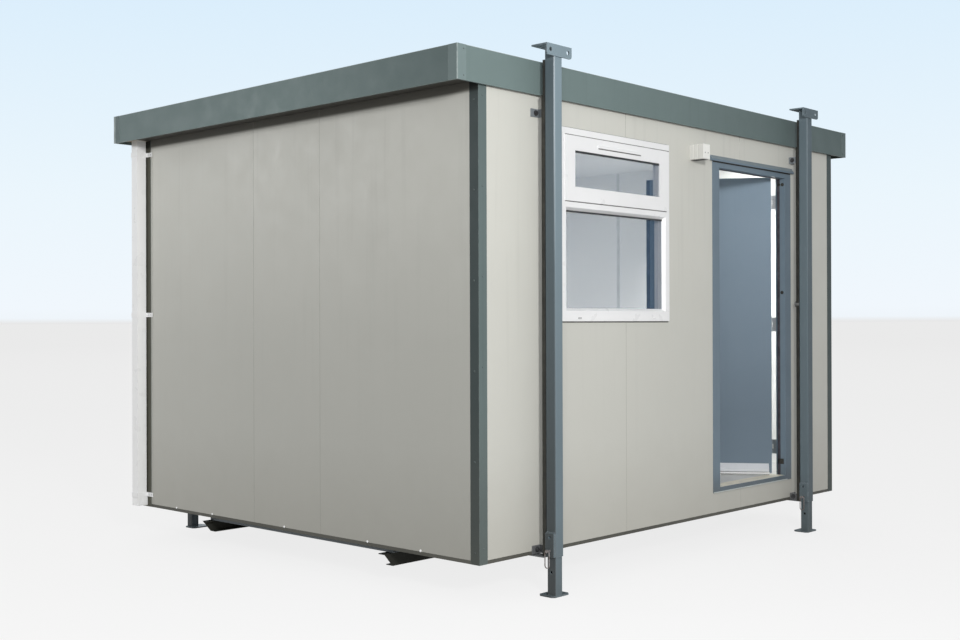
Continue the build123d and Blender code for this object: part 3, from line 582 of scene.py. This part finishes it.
AMBIENT = 0.50
FLOOR_REACH = 3000.0
FLOOR_MIDDLE = (-5.0, -4.5, 0.0)
FLOOR_LEVELS = ((0.0, 0.957), (0.08, 0.86), (0.25, 0.85), (1.0, 0.815))
SKY_COLOURS = (
    (0.0, (0.80, 0.80, 0.80)), (0.0015, (0.80, 0.80, 0.80)), (0.0018, (0.860, 0.910, 0.955)),
    (0.012, (0.875, 0.930, 0.982)), (0.10, (0.83, 0.92, 0.98)), (0.25, (0.708, 0.855, 0.974)),
    (1.0, (0.62, 0.80, 0.97)))


def fill_ramp(ramp, stops):
    """Sets a ramp's stops, each (where, colour)."""
    points = ramp.color_ramp.elements
    while len(points) < len(stops):
        points.new(0.5)
    for point, (where, colour) in zip(points, stops):
        point.position = where
        point.color = (*colour, 1.0)


def floor_piece():
    """A wide pale floor, brightest near the middle."""
    mesh = bpy.data.meshes.new("floor")
    bm = bmesh.new()
    bmesh.ops.create_grid(bm, x_segments=8, y_segments=8, size=FLOOR_REACH)
    bm.to_mesh(mesh)
    bm.free()
    piece = bpy.data.objects.new("floor", mesh)
    scene.collection.objects.link(piece)
    f = Finish("studio_floor", 0.9)
    away = f.add("ShaderNodeVectorMath", operation="DISTANCE")
    away.inputs[1].default_value = FLOOR_MIDDLE
    f.link(f.place, away.inputs[0])
    ramp = f.add("ShaderNodeValToRGB")
    ramp.color_ramp.interpolation = "B_SPLINE"
    fill_ramp(ramp, [(where, (level, level, level)) for where, level in FLOOR_LEVELS])
    f.link(f.span(away.outputs["Value"], 0.0, 80.0), ramp.inputs["Fac"])
    seen = f.add("ShaderNodeLightPath")
    through = f.calc("MAXIMUM", seen.outputs["Is Glossy Ray"], seen.outputs["Is Transmission Ray"])
    any_view = f.calc("MAXIMUM", seen.outputs["Is Camera Ray"], through)
    glow = f.add("ShaderNodeEmission")
    f.link(ramp.outputs["Color"], glow.inputs["Color"])
    f.link(f.calc("MULTIPLY", any_view, 0.93), glow.inputs["Strength"])
    f.colour(f.blend(any_view, (0.40, 0.40, 0.40), (0.10, 0.10, 0.10)))
    both = f.add("ShaderNodeAddShader")
    f.link(f.shader.outputs["BSDF"], both.inputs[0])
    f.link(glow.outputs[0], both.inputs[1])
    f.link(both.outputs[0], f.output.inputs["Surface"])
    f.shader.inputs["Specular IOR Level"].default_value = 0.0
    mesh.materials.append(f.material)
    piece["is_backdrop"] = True


def studio_world():
    """A plain white light, and a pale blue sky where it is looked at."""
    world = bpy.data.worlds.new("studio")
    scene.world = world
    world.use_nodes = True
    tree = world.node_tree
    tree.nodes.clear()
    add, link = tree.nodes.new, tree.links.new
    output, pick = add("ShaderNodeOutputWorld"), add("ShaderNodeMixShader")
    plain, sky = add("ShaderNodeBackground"), add("ShaderNodeBackground")
    plain.inputs["Color"].default_value = (1.0, 1.0, 1.0, 1.0)
    plain.inputs["Strength"].default_value = AMBIENT
    place, split = add("ShaderNodeTexCoord"), add("ShaderNodeSeparateXYZ")
    ramp = add("ShaderNodeValToRGB")
    link(place.outputs["Generated"], split.inputs[0])
    link(split.outputs["Z"], ramp.inputs["Fac"])
    fill_ramp(ramp, SKY_COLOURS)
    link(ramp.outputs["Color"], sky.inputs["Color"])
    seen = add("ShaderNodeLightPath")
    most, more = add("ShaderNodeMath"), add("ShaderNodeMath")
    most.operation = more.operation = "MAXIMUM"
    link(seen.outputs["Is Glossy Ray"], more.inputs[0])
    link(seen.outputs["Is Transmission Ray"], more.inputs[1])
    link(seen.outputs["Is Camera Ray"], most.inputs[0])
    link(more.outputs[0], most.inputs[1])
    link(most.outputs[0], pick.inputs["Fac"])
    link(plain.outputs[0], pick.inputs[1])
    link(sky.outputs[0], pick.inputs[2])
    link(pick.outputs[0], output.inputs["Surface"])


def lamp(name, kind, place, aim, energy, **values):
    data = bpy.data.lights.new(name, kind)
    data.energy = energy
    for key, value in values.items():
        setattr(data, key, value)
    piece = bpy.data.objects.new(name, data)
    scene.collection.objects.link(piece)
    piece.location = place
    piece.rotation_euler = (Vector(aim) - Vector(place)).to_track_quat("-Z", "Y").to_euler()
    return piece


floor_piece()
studio_world()
lamp("key_lamp", "AREA", (-5.2, -6.9, 3.3), (-0.4, -1.5, 1.3), 300.0, size=0.8)
lamp("near_lamp", "AREA", (-7.6, -6.6, 3.0), (-0.8, -1.5, 1.3), 115.0, size=2.5)
lamp("side_lamp", "AREA", (-6.5, 5.2, 3.5), (-1.8, 0.5, 1.6), 75.0, size=1.0)
lamp("rear_lamp", "SUN", (6.0, 8.0, 6.0), (0.0, 0.0, 1.0), 0.55, angle=math.radians(50))
for name, place, aim, power, size in (
        ("room_lamp", (0.0, 0.45, 1.25), (1.78, 0.25, 1.25), 25.0, 1.1),
        ("door_lamp", (1.30, -0.50, 2.1), (1.78, -1.15, 1.4), 18.0, 0.4)):
    lamp(name, "AREA", place, aim, power, size=size).visible_camera = False


# ---------------------------------------------------------------- making pieces

FRONT, BACK, LEFT, RIGHT, UP = (0, -1, 0), (0, 1, 0), (-1, 0, 0), (1, 0, 0), (0, 0, 1)
LEAF_KNUCKLE = Vector((1.1855, -1.418, 0.0))
OPEN_TURN = Matrix.Rotation(math.radians(-56.4), 3, "Z")


def on_leaf(place):
    """Where a point of the shut leaf lies with the leaf open."""
    return tuple(LEAF_KNUCKLE + OPEN_TURN @ (Vector(place) - LEAF_KNUCKLE))


def leaf_facing(normal):
    return tuple(OPEN_TURN @ Vector(normal))


def make_piece(name, bm, finish, body):
    """Turns a bmesh into a finished piece that rides on a body. On the door it is drawn shut."""
    if body == "door":
        for v in bm.verts:
            v.co = on_leaf(v.co)
    bmesh.ops.recalc_face_normals(bm, faces=bm.faces)
    mesh = bpy.data.meshes.new(name)
    bm.to_mesh(mesh)
    bm.free()
    mesh.materials.append(finish)
    piece = bpy.data.objects.new(name, mesh)
    scene.collection.objects.link(piece)
    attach(piece, body)


def add_block(bm, corner, opposite, ease=0.0):
    """A block between two opposite corners, its edges eased."""
    low = Vector([min(pair) for pair in zip(corner, opposite)])
    high = Vector([max(pair) for pair in zip(corner, opposite)])
    made = bmesh.ops.create_cube(bm, size=1.0)["verts"]
    size, middle = high - low, (high + low) / 2
    for v in made:
        v.co = Vector((v.co.x * size.x, v.co.y * size.y, v.co.z * size.z)) + middle
    if ease:
        edges = list({e for v in made for e in v.link_edges})
        bmesh.ops.bevel(bm, geom=edges, offset=ease, segments=2, profile=0.5, affect="EDGES")


def make_blocks(name, blocks, finish, body, ease=0.0):
    """One piece of blocks, each given by two opposite corners."""
    bm = bmesh.new()
    for corner, opposite in blocks:
        add_block(bm, corner, opposite, ease)
    make_piece(name, bm, finish, body)


def add_disc(bm, middle, radius, depth, sides):
    """A short cylinder along y."""
    made = bmesh.ops.create_cone(bm, cap_ends=True, segments=sides, radius1=radius, radius2=radius,
                                 depth=depth)["verts"]
    quarter = Matrix.Rotation(math.radians(90), 3, "X")
    bmesh.ops.rotate(bm, verts=made, cent=(0, 0, 0), matrix=quarter)
    bmesh.ops.translate(bm, verts=made, vec=middle)


def add_bead(bm, start, end, width, height, face, steps=4):
    """A half-round bead from start to end on a flat face whose outward normal is face."""
    start, end, face = Vector(start), Vector(end), Vector(face)
    side = (end - start).normalized().cross(face)
    turns = [math.pi * i / steps for i in range(steps + 1)]
    arc = [side * (width / 2 * math.cos(turn)) + face * (height * math.sin(turn)) for turn in turns]
    rows = [[bm.verts.new(point + reach) for reach in arc] for point in (start, end)]
    for j in range(len(arc)):
        k = (j + 1) % len(arc)
        bm.faces.new((rows[0][j], rows[0][k], rows[1][k], rows[1][j]))
    bm.faces.new(rows[0][::-1])
    bm.faces.new(rows[1])


def spread(first, last, count):
    return [first + (last - first) * i / (count - 1) for i in range(count)]


# ---------------------------------------------------------------- fasteners

def fastener_tree(name, sides, crown, washer):
    """Heads set on every point of a mesh, each turned to that point's facing."""
    tree = bpy.data.node_groups.new(name, "GeometryNodeTree")
    socket = tree.interface.new_socket
    for label, kind in (
            ("Geometry", "Geometry"), ("Head Radius", "Float"), ("Head Height", "Float"),
            ("Washer Radius", "Float"), ("Washer Height", "Float"), ("Finish", "Material")):
        socket(label, in_out="INPUT", socket_type="NodeSocket" + kind)
    socket("Geometry", in_out="OUTPUT", socket_type="NodeSocketGeometry")
    add, link = tree.nodes.new, tree.links.new
    given, result = add("NodeGroupInput"), add("NodeGroupOutput")

    def scaled(value, factor):
        node = add("ShaderNodeMath")
        node.operation = "MULTIPLY"
        link(value, node.inputs[0])
        node.inputs[1].default_value = factor
        return node.outputs[0]

    def added(value, extra):
        node = add("ShaderNodeMath")
        link(value, node.inputs[0])
        link(extra, node.inputs[1])
        return node.outputs[0]

    def raised(geometry, height):
        node, spot = add("GeometryNodeTransform"), add("ShaderNodeCombineXYZ")
        link(geometry, node.inputs["Geometry"])
        link(height, spot.inputs["Z"])
        link(spot.outputs[0], node.inputs["Translation"])
        return node.outputs[0]

    def cone(bottom, top, height, count):
        node = add("GeometryNodeMeshCone")
        node.inputs["Vertices"].default_value = count
        link(top, node.inputs["Radius Top"])
        link(bottom, node.inputs["Radius Bottom"])
        link(height, node.inputs["Depth"])
        return node.outputs["Mesh"]

    radius, height = given.outputs["Head Radius"], given.outputs["Head Height"]
    base = given.outputs["Washer Height"]
    join = add("GeometryNodeJoinGeometry")
    lower = scaled(height, 0.6)
    link(raised(cone(radius, radius, lower, sides), base), join.inputs[0])
    upper = cone(radius, scaled(radius, crown), scaled(height, 0.4), sides)
    link(raised(upper, added(base, lower)), join.inputs[0])
    if washer:
        rim = given.outputs["Washer Radius"]
        link(cone(rim, scaled(rim, 0.94), base, 20), join.inputs[0])
    normal = add("GeometryNodeInputNamedAttribute")
    normal.data_type = "FLOAT_VECTOR"
    normal.inputs["Name"].default_value = "facing"
    turn = add("FunctionNodeAlignRotationToVector")
    turn.axis = "Z"
    link(normal.outputs["Attribute"], turn.inputs["Vector"])
    copies = add("GeometryNodeInstanceOnPoints")
    link(given.outputs["Geometry"], copies.inputs["Points"])
    link(join.outputs[0], copies.inputs["Instance"])
    link(turn.outputs[0], copies.inputs["Rotation"])
    real, coated = add("GeometryNodeRealizeInstances"), add("GeometryNodeSetMaterial")
    link(copies.outputs[0], real.inputs[0])
    link(real.outputs[0], coated.inputs["Geometry"])
    link(given.outputs["Finish"], coated.inputs["Material"])
    link(coated.outputs[0], result.inputs[0])
    return tree


SCREW = fastener_tree("pan_head_screw", 12, 0.62, False)
BOLT = fastener_tree("hex_bolt_and_washer", 6, 0.86, True)


def apply_tree(piece, tree, values):
    """Runs a node tree on a piece and returns its result as a plain mesh."""
    modifier = piece.modifiers.new("make", "NODES")
    modifier.node_group = tree
    for item in tree.interface.items_tree:
        if item.in_out == "INPUT" and item.name in values:
            modifier[item.identifier] = values[item.name]
    graph = bpy.context.evaluated_depsgraph_get()
    made = bpy.data.meshes.new_from_object(piece.evaluated_get(graph))
    piece.modifiers.remove(modifier)
    return made


def fasten(name, body, spots, tree, radius, height, finish, washer=(0.0, 0.0)):
    """One piece with a fastener head at each (place, facing) of spots."""
    points = bpy.data.meshes.new(name + "_places")
    points.from_pydata([tuple(place) for place, _ in spots], [], [])
    normals = points.attributes.new("facing", "FLOAT_VECTOR", "POINT")
    normals.data.foreach_set("vector", [c for _, normal in spots for c in normal])
    piece = bpy.data.objects.new(name, points)
    scene.collection.objects.link(piece)
    piece.data = apply_tree(piece, tree, {
        "Head Radius": radius, "Head Height": height, "Washer Radius": washer[0],
        "Washer Height": washer[1], "Finish": finish})
    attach(piece, body)


def corners(low, high):
    """Each outer corner in plan: which way it lies, its two faces and their facings."""
    for sx, x_face, side in ((-1, low.x, LEFT), (1, high.x, RIGHT)):
        for sy, y_face, end in ((-1, low.y, FRONT), (1, high.y, BACK)):
            yield sx, sy, x_face, y_face, side, end


front_low, front_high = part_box("front_panel_left")
walls_low = Vector((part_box("left_panel_1")[0].x, front_low.y, front_low.z))
walls_high = Vector((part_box("right_panel_1")[1].x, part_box("rear_panel_1")[1].y, front_high.z))
trim_low, trim_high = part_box("corner_trims")

# white sheet screws along the foot of both ends and the rear
foot_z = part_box("base_rail")[1].z + 0.004
end_rows = (1.12, 0.73, 0.018, -0.70, -1.11)
spots = [((x, y, foot_z), side)
         for x, side in ((walls_low.x, LEFT), (walls_high.x, RIGHT)) for y in end_rows]
spots += [((x, walls_high.y, foot_z), BACK) for x in spread(-1.5, 1.5, 7)]
fasten("foot_screws", "cabin", spots, SCREW, 0.0065, 0.0042, PLASTIC)

# painted screws down both faces of each corner trim
spots = []
inset = 0.030
for sx, sy, x_face, y_face, side, end in corners(trim_low, trim_high):
    for z in spread(trim_low.z + 0.06, trim_high.z - 0.09, 6):
        spots.append(((x_face, y_face - sy * inset, z), side))
        spots.append(((x_face - sx * inset, y_face, z + 0.02), end))
fasten("trim_screws", "cabin", spots, SCREW, 0.0048, 0.0028, TRIM)

# rivets in the front and rear faces of the fascia's corner covers
cover_low, cover_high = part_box("fascia_corners")
rivet_inset, rivet_margin = 0.045, 0.022
spots = [((x_face - sx * rivet_inset, y_face, z), end)
         for sx, sy, x_face, y_face, side, end in corners(cover_low, cover_high)
         for z in (cover_low.z + rivet_margin, cover_high.z - rivet_margin)]
fasten("cover_rivets", "cabin", spots, SCREW, 0.0038, 0.0022, TRIM)


# ---------------------------------------------------------------- seals and joints

window_low, window_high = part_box("window_frame")
frame_low, frame_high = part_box("door_frame")
room_low, room_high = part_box("floor_deck")
end_seams = [corner.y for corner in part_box("left_panel_2")]
rear_seams = [corner.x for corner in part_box("rear_panel_2")]
front_seam = front_high.x

# sealant in the panel joints, set just back from the walls' faces
near, deep, half = 0.0004, 0.0014, 0.0012
blocks = [((x - way * deep, y - half, walls_low.z), (x - way * near, y + half, walls_high.z))
          for x, way in ((walls_low.x, -1), (walls_high.x, 1)) for y in end_seams]
blocks += [((x - half, walls_high.y - deep, walls_low.z),
            (x + half, walls_high.y - near, walls_high.z)) for x in rear_seams]
make_blocks("panel_joints", blocks, JOINT_SEALANT, "cabin")
blocks = [((front_seam - half, walls_low.y + near, low_z),
           (front_seam + half, walls_low.y + deep, high_z))
          for low_z, high_z in ((walls_low.z, window_low.z), (window_high.z, walls_high.z))]
make_blocks("front_joint", blocks, FAINT_SEALANT, "cabin")

# cover strips over the joints of the lining, indoors
ceiling_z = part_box("roof_deck")[0].z
strip, end_half, rear_half = 0.002, 0.014, 0.020
blocks = [((x, y - end_half, room_high.z), (x - way * strip, y + end_half, ceiling_z))
          for y in end_seams for x, way in ((room_low.x, -1), (room_high.x, 1))]
blocks += [((x - rear_half, room_high.y - strip, room_high.z),
            (x + rear_half, room_high.y, ceiling_z)) for x in rear_seams]
make_blocks("lining_strips", blocks, JOINT_STRIP, "cabin", 0.0006)

# dark sealant under and over the window frame, the lower bead also painted shadow of the frame, and
# pale sealant up the hinge side of the door frame
bm = bmesh.new()
for z, width, height in ((window_low.z - 0.004, 0.008, 0.004),
                         (window_high.z + 0.0025, 0.005, 0.003)):
    add_bead(bm, (window_low.x, walls_low.y, z), (window_high.x, walls_low.y, z),
             width, height, FRONT)
make_piece("window_sealant_and_shadow", bm, WINDOW_SEALANT_AND_SHADOW, "cabin")
bm = bmesh.new()
bead_x = frame_high.x + 0.0055
add_bead(bm, (bead_x, walls_low.y, frame_low.z + 0.004),
         (bead_x, walls_low.y, frame_high.z - 0.035), 0.011, 0.0035, FRONT)
make_piece("door_frame_sealant", bm, PALE_SEALANT, "cabin")


# ---------------------------------------------------------------- window

sash_low, sash_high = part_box("window_sash")
vent_low, vent_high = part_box("trickle_vent")
# black blocks along the top edge of each pane: painted shade under the member above
blocks = []
for (low, high), deep in ((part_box("window_glass_lower"), 0.009),
                          (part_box("window_glass_upper"), 0.011)):
    blocks.append(((low.x, low.y - 0.004, high.z - deep), (high.x, low.y, high.z)))
make_blocks("glass_top_shade", blocks, RUBBER_AND_SHADE, "cabin")

# the weather seal that shows above and below the opening sash, and the slot under the vent's hood
seal_y = window_low.y - 0.0009
make_blocks("sash_seal", [
    ((sash_low.x, seal_y, sash_high.z), (window_high.x - 0.004, window_low.y, sash_high.z + 0.006)),
    ((sash_low.x, seal_y, sash_low.z - 0.0045), (sash_high.x, window_low.y, sash_low.z)),
    ((vent_low.x + 0.006, sash_low.y - 0.0012, vent_low.z - 0.005),
     (vent_high.x + 0.012, sash_low.y, vent_low.z)),
], SEAL_GREY, "cabin")

# drain caps along the foot of the frame
cap_half = 0.014
make_blocks("drain_caps", [
    ((x - cap_half, window_low.y - 0.003, window_low.z + 0.012),
     (x + cap_half, window_low.y, window_low.z + 0.022))
    for x in (window_low.x + 0.152, window_high.x - 0.156)
], CAP_GREY, "cabin", 0.001)


# ---------------------------------------------------------------- doorway

sill_low, sill_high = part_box("door_threshold")
canopy_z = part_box("door_canopy")[0].z
clear_x = (sill_low.x, sill_high.x)
head_z = frame_high.z - 0.067
gasket_y = (frame_low.y + 0.038, frame_low.y + 0.0575)
lip = 0.003
blocks = [((x, gasket_y[0], sill_low.z + 0.004), (x + way * lip, gasket_y[1], head_z))
          for x, way in ((clear_x[0], 1), (clear_x[1], -1))]
blocks.append(((clear_x[0], gasket_y[0], head_z - lip), (clear_x[1], gasket_y[1], head_z)))
make_blocks("door_gasket", blocks, GASKET, "cabin", 0.001)

# a near-black strip under the canopy: painted shadow of the canopy
make_blocks("canopy_shadow_strip", [
    ((frame_low.x + 0.004, frame_low.y - 0.0015, canopy_z - 0.007),
     (frame_high.x - 0.004, frame_low.y, canopy_z)),
], PACKING_AND_SHADE, "cabin", 0.0004)

# dark plugs over the frame's fixings, and the packer beside the lowest ones
plug_places = ((-1.512, 2.325), (-1.485, 2.325), (-1.507, 1.601), (-1.505, 0.468), (-1.485, 0.468))
spots = [((x, y, z), side)
         for x, side in ((clear_x[0], RIGHT), (clear_x[1], LEFT)) for y, z in plug_places]
fasten("frame_plugs", "cabin", spots, SCREW, 0.0115, 0.004, PACKING_AND_SHADE)
make_blocks("frame_packer", [
    ((clear_x[1] - lip, -1.517, 0.450), (clear_x[1], gasket_y[1], 0.486)),
], PACKING_AND_SHADE, "cabin", 0.001)

# a pale flashing at the foot of the sill
make_blocks("sill_flashing", [
    ((frame_low.x, frame_low.y - 0.0025, frame_low.z),
     (clear_x[1] + 0.02, frame_low.y, frame_low.z + 0.006)),
], PALE_SEALANT, "cabin", 0.0005)

# pale nosing that laps from the threshold onto the floor
make_blocks("threshold_nosing", [
    ((clear_x[0] - 0.03, sill_high.y, room_high.z),
     (clear_x[1] + 0.03, sill_high.y + 0.040, room_high.z + 0.0025)),
], SILL, "cabin", 0.0008)

spots = [((x, -1.49, sill_high.z), UP) for x in spread(clear_x[0] + 0.08, clear_x[1] - 0.08, 4)]
fasten("threshold_screws", "cabin", spots, SCREW, 0.004, 0.0014, ZINC)

# the shut leaf: its outer and inner faces, free edge, foot and head
leaf_face, leaf_back, leaf_edge = -1.470, -1.426, 0.351
leaf_foot, leaf_head = 0.392, 2.372
lever_level = 1.411
handle_x = leaf_edge + 0.060
handle_plate = 0.007
hinge_levels = (0.562, 1.387, 2.212)
hinge_rise = 0.032

# lock edge with its latch and the cylinders under the levers
bm = bmesh.new()
add_block(bm, (leaf_edge - 0.0012, leaf_face + 0.011, lever_level - 0.15),
          (leaf_edge, leaf_back - 0.011, lever_level + 0.09), 0.0004)
add_block(bm, (leaf_edge - 0.0035, leaf_face + 0.016, lever_level - 0.030),
          (leaf_edge, leaf_back - 0.016, lever_level - 0.006), 0.001)
for y in (leaf_face - handle_plate - 0.001, leaf_back + handle_plate + 0.001):
    add_disc(bm, (handle_x, y, lever_level - 0.072), 0.0085, 0.004, 20)
make_piece("lock_edge", bm, ZINC, "door")

# a dark seal on the free edge, a dark strip on the face beside it as painted shadow of the jamb,
# and the draught strip with its lips along the foot
make_blocks("leaf_end_seal", [
    ((leaf_edge - 0.0008, leaf_face + 0.003, leaf_foot), (leaf_edge, leaf_back - 0.003, leaf_head)),
], DARK_EDGE, "door", 0.0003)
make_blocks("leaf_edge_shadow", [
    ((leaf_edge + 0.0005, leaf_face - 0.0012, leaf_foot),
     (leaf_edge + 0.024, leaf_face, leaf_head)),
], DARK_EDGE, "door", 0.0003)
strip_start, strip_end = leaf_edge + 0.016, leaf_edge + 0.816
strip_low, strip_high = 0.3805, 0.3925
make_blocks("draught_strip", [
    ((strip_start, leaf_face - 0.004, strip_low), (strip_end, leaf_face + 0.012, strip_high)),
], PLASTIC, "door", 0.001)
make_blocks("draught_lips", [
    ((strip_start, leaf_face - 0.003, strip_high), (strip_end, leaf_face, strip_high + 0.005)),
    ((strip_start, leaf_face - 0.002, strip_low - 0.0029),
     (strip_end, leaf_face + 0.006, strip_low)),
], SEAL_GREY, "door")
make_blocks("lock_keep", [
    ((0.346, leaf_face + 0.008, lever_level - 0.10),
     (0.3475, leaf_back - 0.008, lever_level + 0.06)),
], ZINC, "cabin", 0.0004)

# screws of the handles and the hinges
spots = [(on_leaf((handle_x, y, z)), leaf_facing(side))
         for y, side in ((leaf_face - handle_plate, FRONT), (leaf_back + handle_plate, BACK))
         for z in (lever_level + 0.064, lever_level - 0.128)]
spots += [(on_leaf((1.163, leaf_back + 0.003, z + rise)), leaf_facing(BACK))
          for z in hinge_levels for rise in (-hinge_rise, hinge_rise)]
fasten("door_screws", "door", spots, SCREW, 0.0034, 0.0014, ZINC)
spots = [((1.212, -1.449, z + rise), BACK)
         for z in hinge_levels for rise in (-hinge_rise, hinge_rise)]
fasten("hinge_screws", "cabin", spots, SCREW, 0.0034, 0.0014, ZINC)


# ---------------------------------------------------------------- legs

cleats_low, cleats_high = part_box("leg_cleats")
capping_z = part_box("roof_capping")[1].z
lower_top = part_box("fascia_front")[0].z - 0.006
cleat_plate, cleat_half = 0.006, 0.021
cleat_levels = (cleats_high.z - cleat_half, cleats_low.z + cleat_plate + 0.003 + cleat_half)
tube = 0.0325
head_plate = 0.008
stub_radius, stub_depth, stub_level = 0.020, 0.033, 1.522
spots, packing, stubs, welds = [], bmesh.new(), bmesh.new(), bmesh.new()
for row, outward, face in (("front", -1, FRONT), ("rear", 1, BACK)):
    for column in ("left", "right"):
        low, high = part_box(f"leg_{row}_{column}")
        leg_x = (low.x + high.x) / 2
        outer_y = (low.y if outward < 0 else high.y) - outward * head_plate
        back_y = outer_y - outward * 2 * tube
        for z in cleat_levels:
            if column == "left":
                spots.append(((leg_x - 0.0165, outward * (walls_high.y + cleat_plate), z), face))
            else:
                spots.append(((leg_x - 0.0215, outward * (walls_high.y + 0.025), z), LEFT))
        # dark packing between the leg and the cabin, slimmer beside the fascia
        add_block(packing, (leg_x - tube, back_y, low.z),
                  (leg_x + tube, back_y - outward * 0.022, lower_top), 0.001)
        if row == "front":
            add_block(packing, (leg_x - tube, back_y, lower_top),
                      (leg_x + tube, back_y - outward * 0.013, capping_z), 0.001)
        if column == "right":
            add_disc(stubs, (leg_x - 0.0145, back_y - outward * stub_depth / 2, stub_level),
                     stub_radius, stub_depth, 28)
        # weld beads: doubler to tube, and head angle to tube
        side_x = leg_x - tube
        doubler_top = low.z + 0.122
        for y in (outer_y - outward * 0.0045, back_y + outward * 0.0045):
            add_bead(welds, (side_x, y, low.z + 0.004), (side_x, y, doubler_top),
                     0.006, 0.003, LEFT)
        start_y, end_y = sorted((outer_y - outward * 0.006, back_y + outward * 0.006))
        weld_z = doubler_top + 0.002
        add_bead(welds, (side_x, start_y, weld_z), (side_x, end_y, weld_z), 0.006, 0.003, LEFT)
        weld_z = high.z - 0.010
        for side, x in ((LEFT, leg_x - tube), (RIGHT, leg_x + tube)):
            add_bead(welds, (x, start_y, weld_z), (x, end_y, weld_z), 0.007, 0.0035, side)
fasten("cleat_bolts", "cabin", spots, BOLT, 0.0125, 0.008, BOLT_BLACK,
       (0.0155, 0.0022))
make_piece("leg_packing", packing, PACKING_AND_SHADE, "cabin")
make_piece("leg_stubs", stubs, STUB, "cabin")
make_piece("weld_beads", welds, LEG, "cabin")


# ---------------------------------------------------------------- pipe, inlet and roof

pipe_low, pipe_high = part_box("downpipe")
clips_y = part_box("pipe_clips")[0].y
spots = [((trim_low.x - 0.003, y, z), LEFT)
         for z in (0.286, 1.462, 2.510) for y in (clips_y + 0.016, clips_y + 0.044)]
fasten("clip_screws", "cabin", spots, SCREW, 0.0045, 0.0025, ZINC)

# ribs round the pipe's shoe
rib = 0.0015
rib_low, rib_high = pipe_low.z + 0.004, pipe_low.z + 0.050
blocks = [((pipe_low.x - rib, y - rib, rib_low), (pipe_low.x, y + rib, rib_high))
          for y in spread(pipe_low.y + 0.010, pipe_high.y - 0.010, 4)]
blocks += [((x - rib, pipe_low.y - rib, rib_low), (x + rib, pipe_low.y, rib_high))
           for x in spread(pipe_low.x + 0.010, pipe_high.x - 0.014, 4)]
make_blocks("shoe_ribs", blocks, PIPE, "cabin", 0.0004)

inlet_low, inlet_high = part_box("cable_inlet")
spots = [((x, inlet_low.y, inlet_low.z + 0.038), FRONT)
         for x in (inlet_low.x + 0.016, inlet_high.x - 0.024)]
fasten("inlet_screws", "cabin", spots, SCREW, 0.0032, 0.001, RUBBER_AND_SHADE)
make_blocks("inlet_base", [
    ((inlet_low.x + 0.005, inlet_low.y + 0.012, inlet_low.z - 0.0012),
     (inlet_high.x - 0.005, inlet_high.y - 0.004, inlet_low.z)),
], RUBBER_AND_SHADE, "cabin")

deck_low, deck_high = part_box("roof_deck")
crowns = 12
pitch = (deck_high.x - deck_low.x) / crowns
spots = [((deck_low.x + pitch * (i + 0.5), y, deck_high.z), UP)
         for i in range(crowns) for y in spread(deck_low.y + 0.10, deck_high.y - 0.10, 6)]
fasten("roof_screws", "cabin", spots, BOLT, 0.0045, 0.005, ZINC, (0.010, 0.002))


low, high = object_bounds()
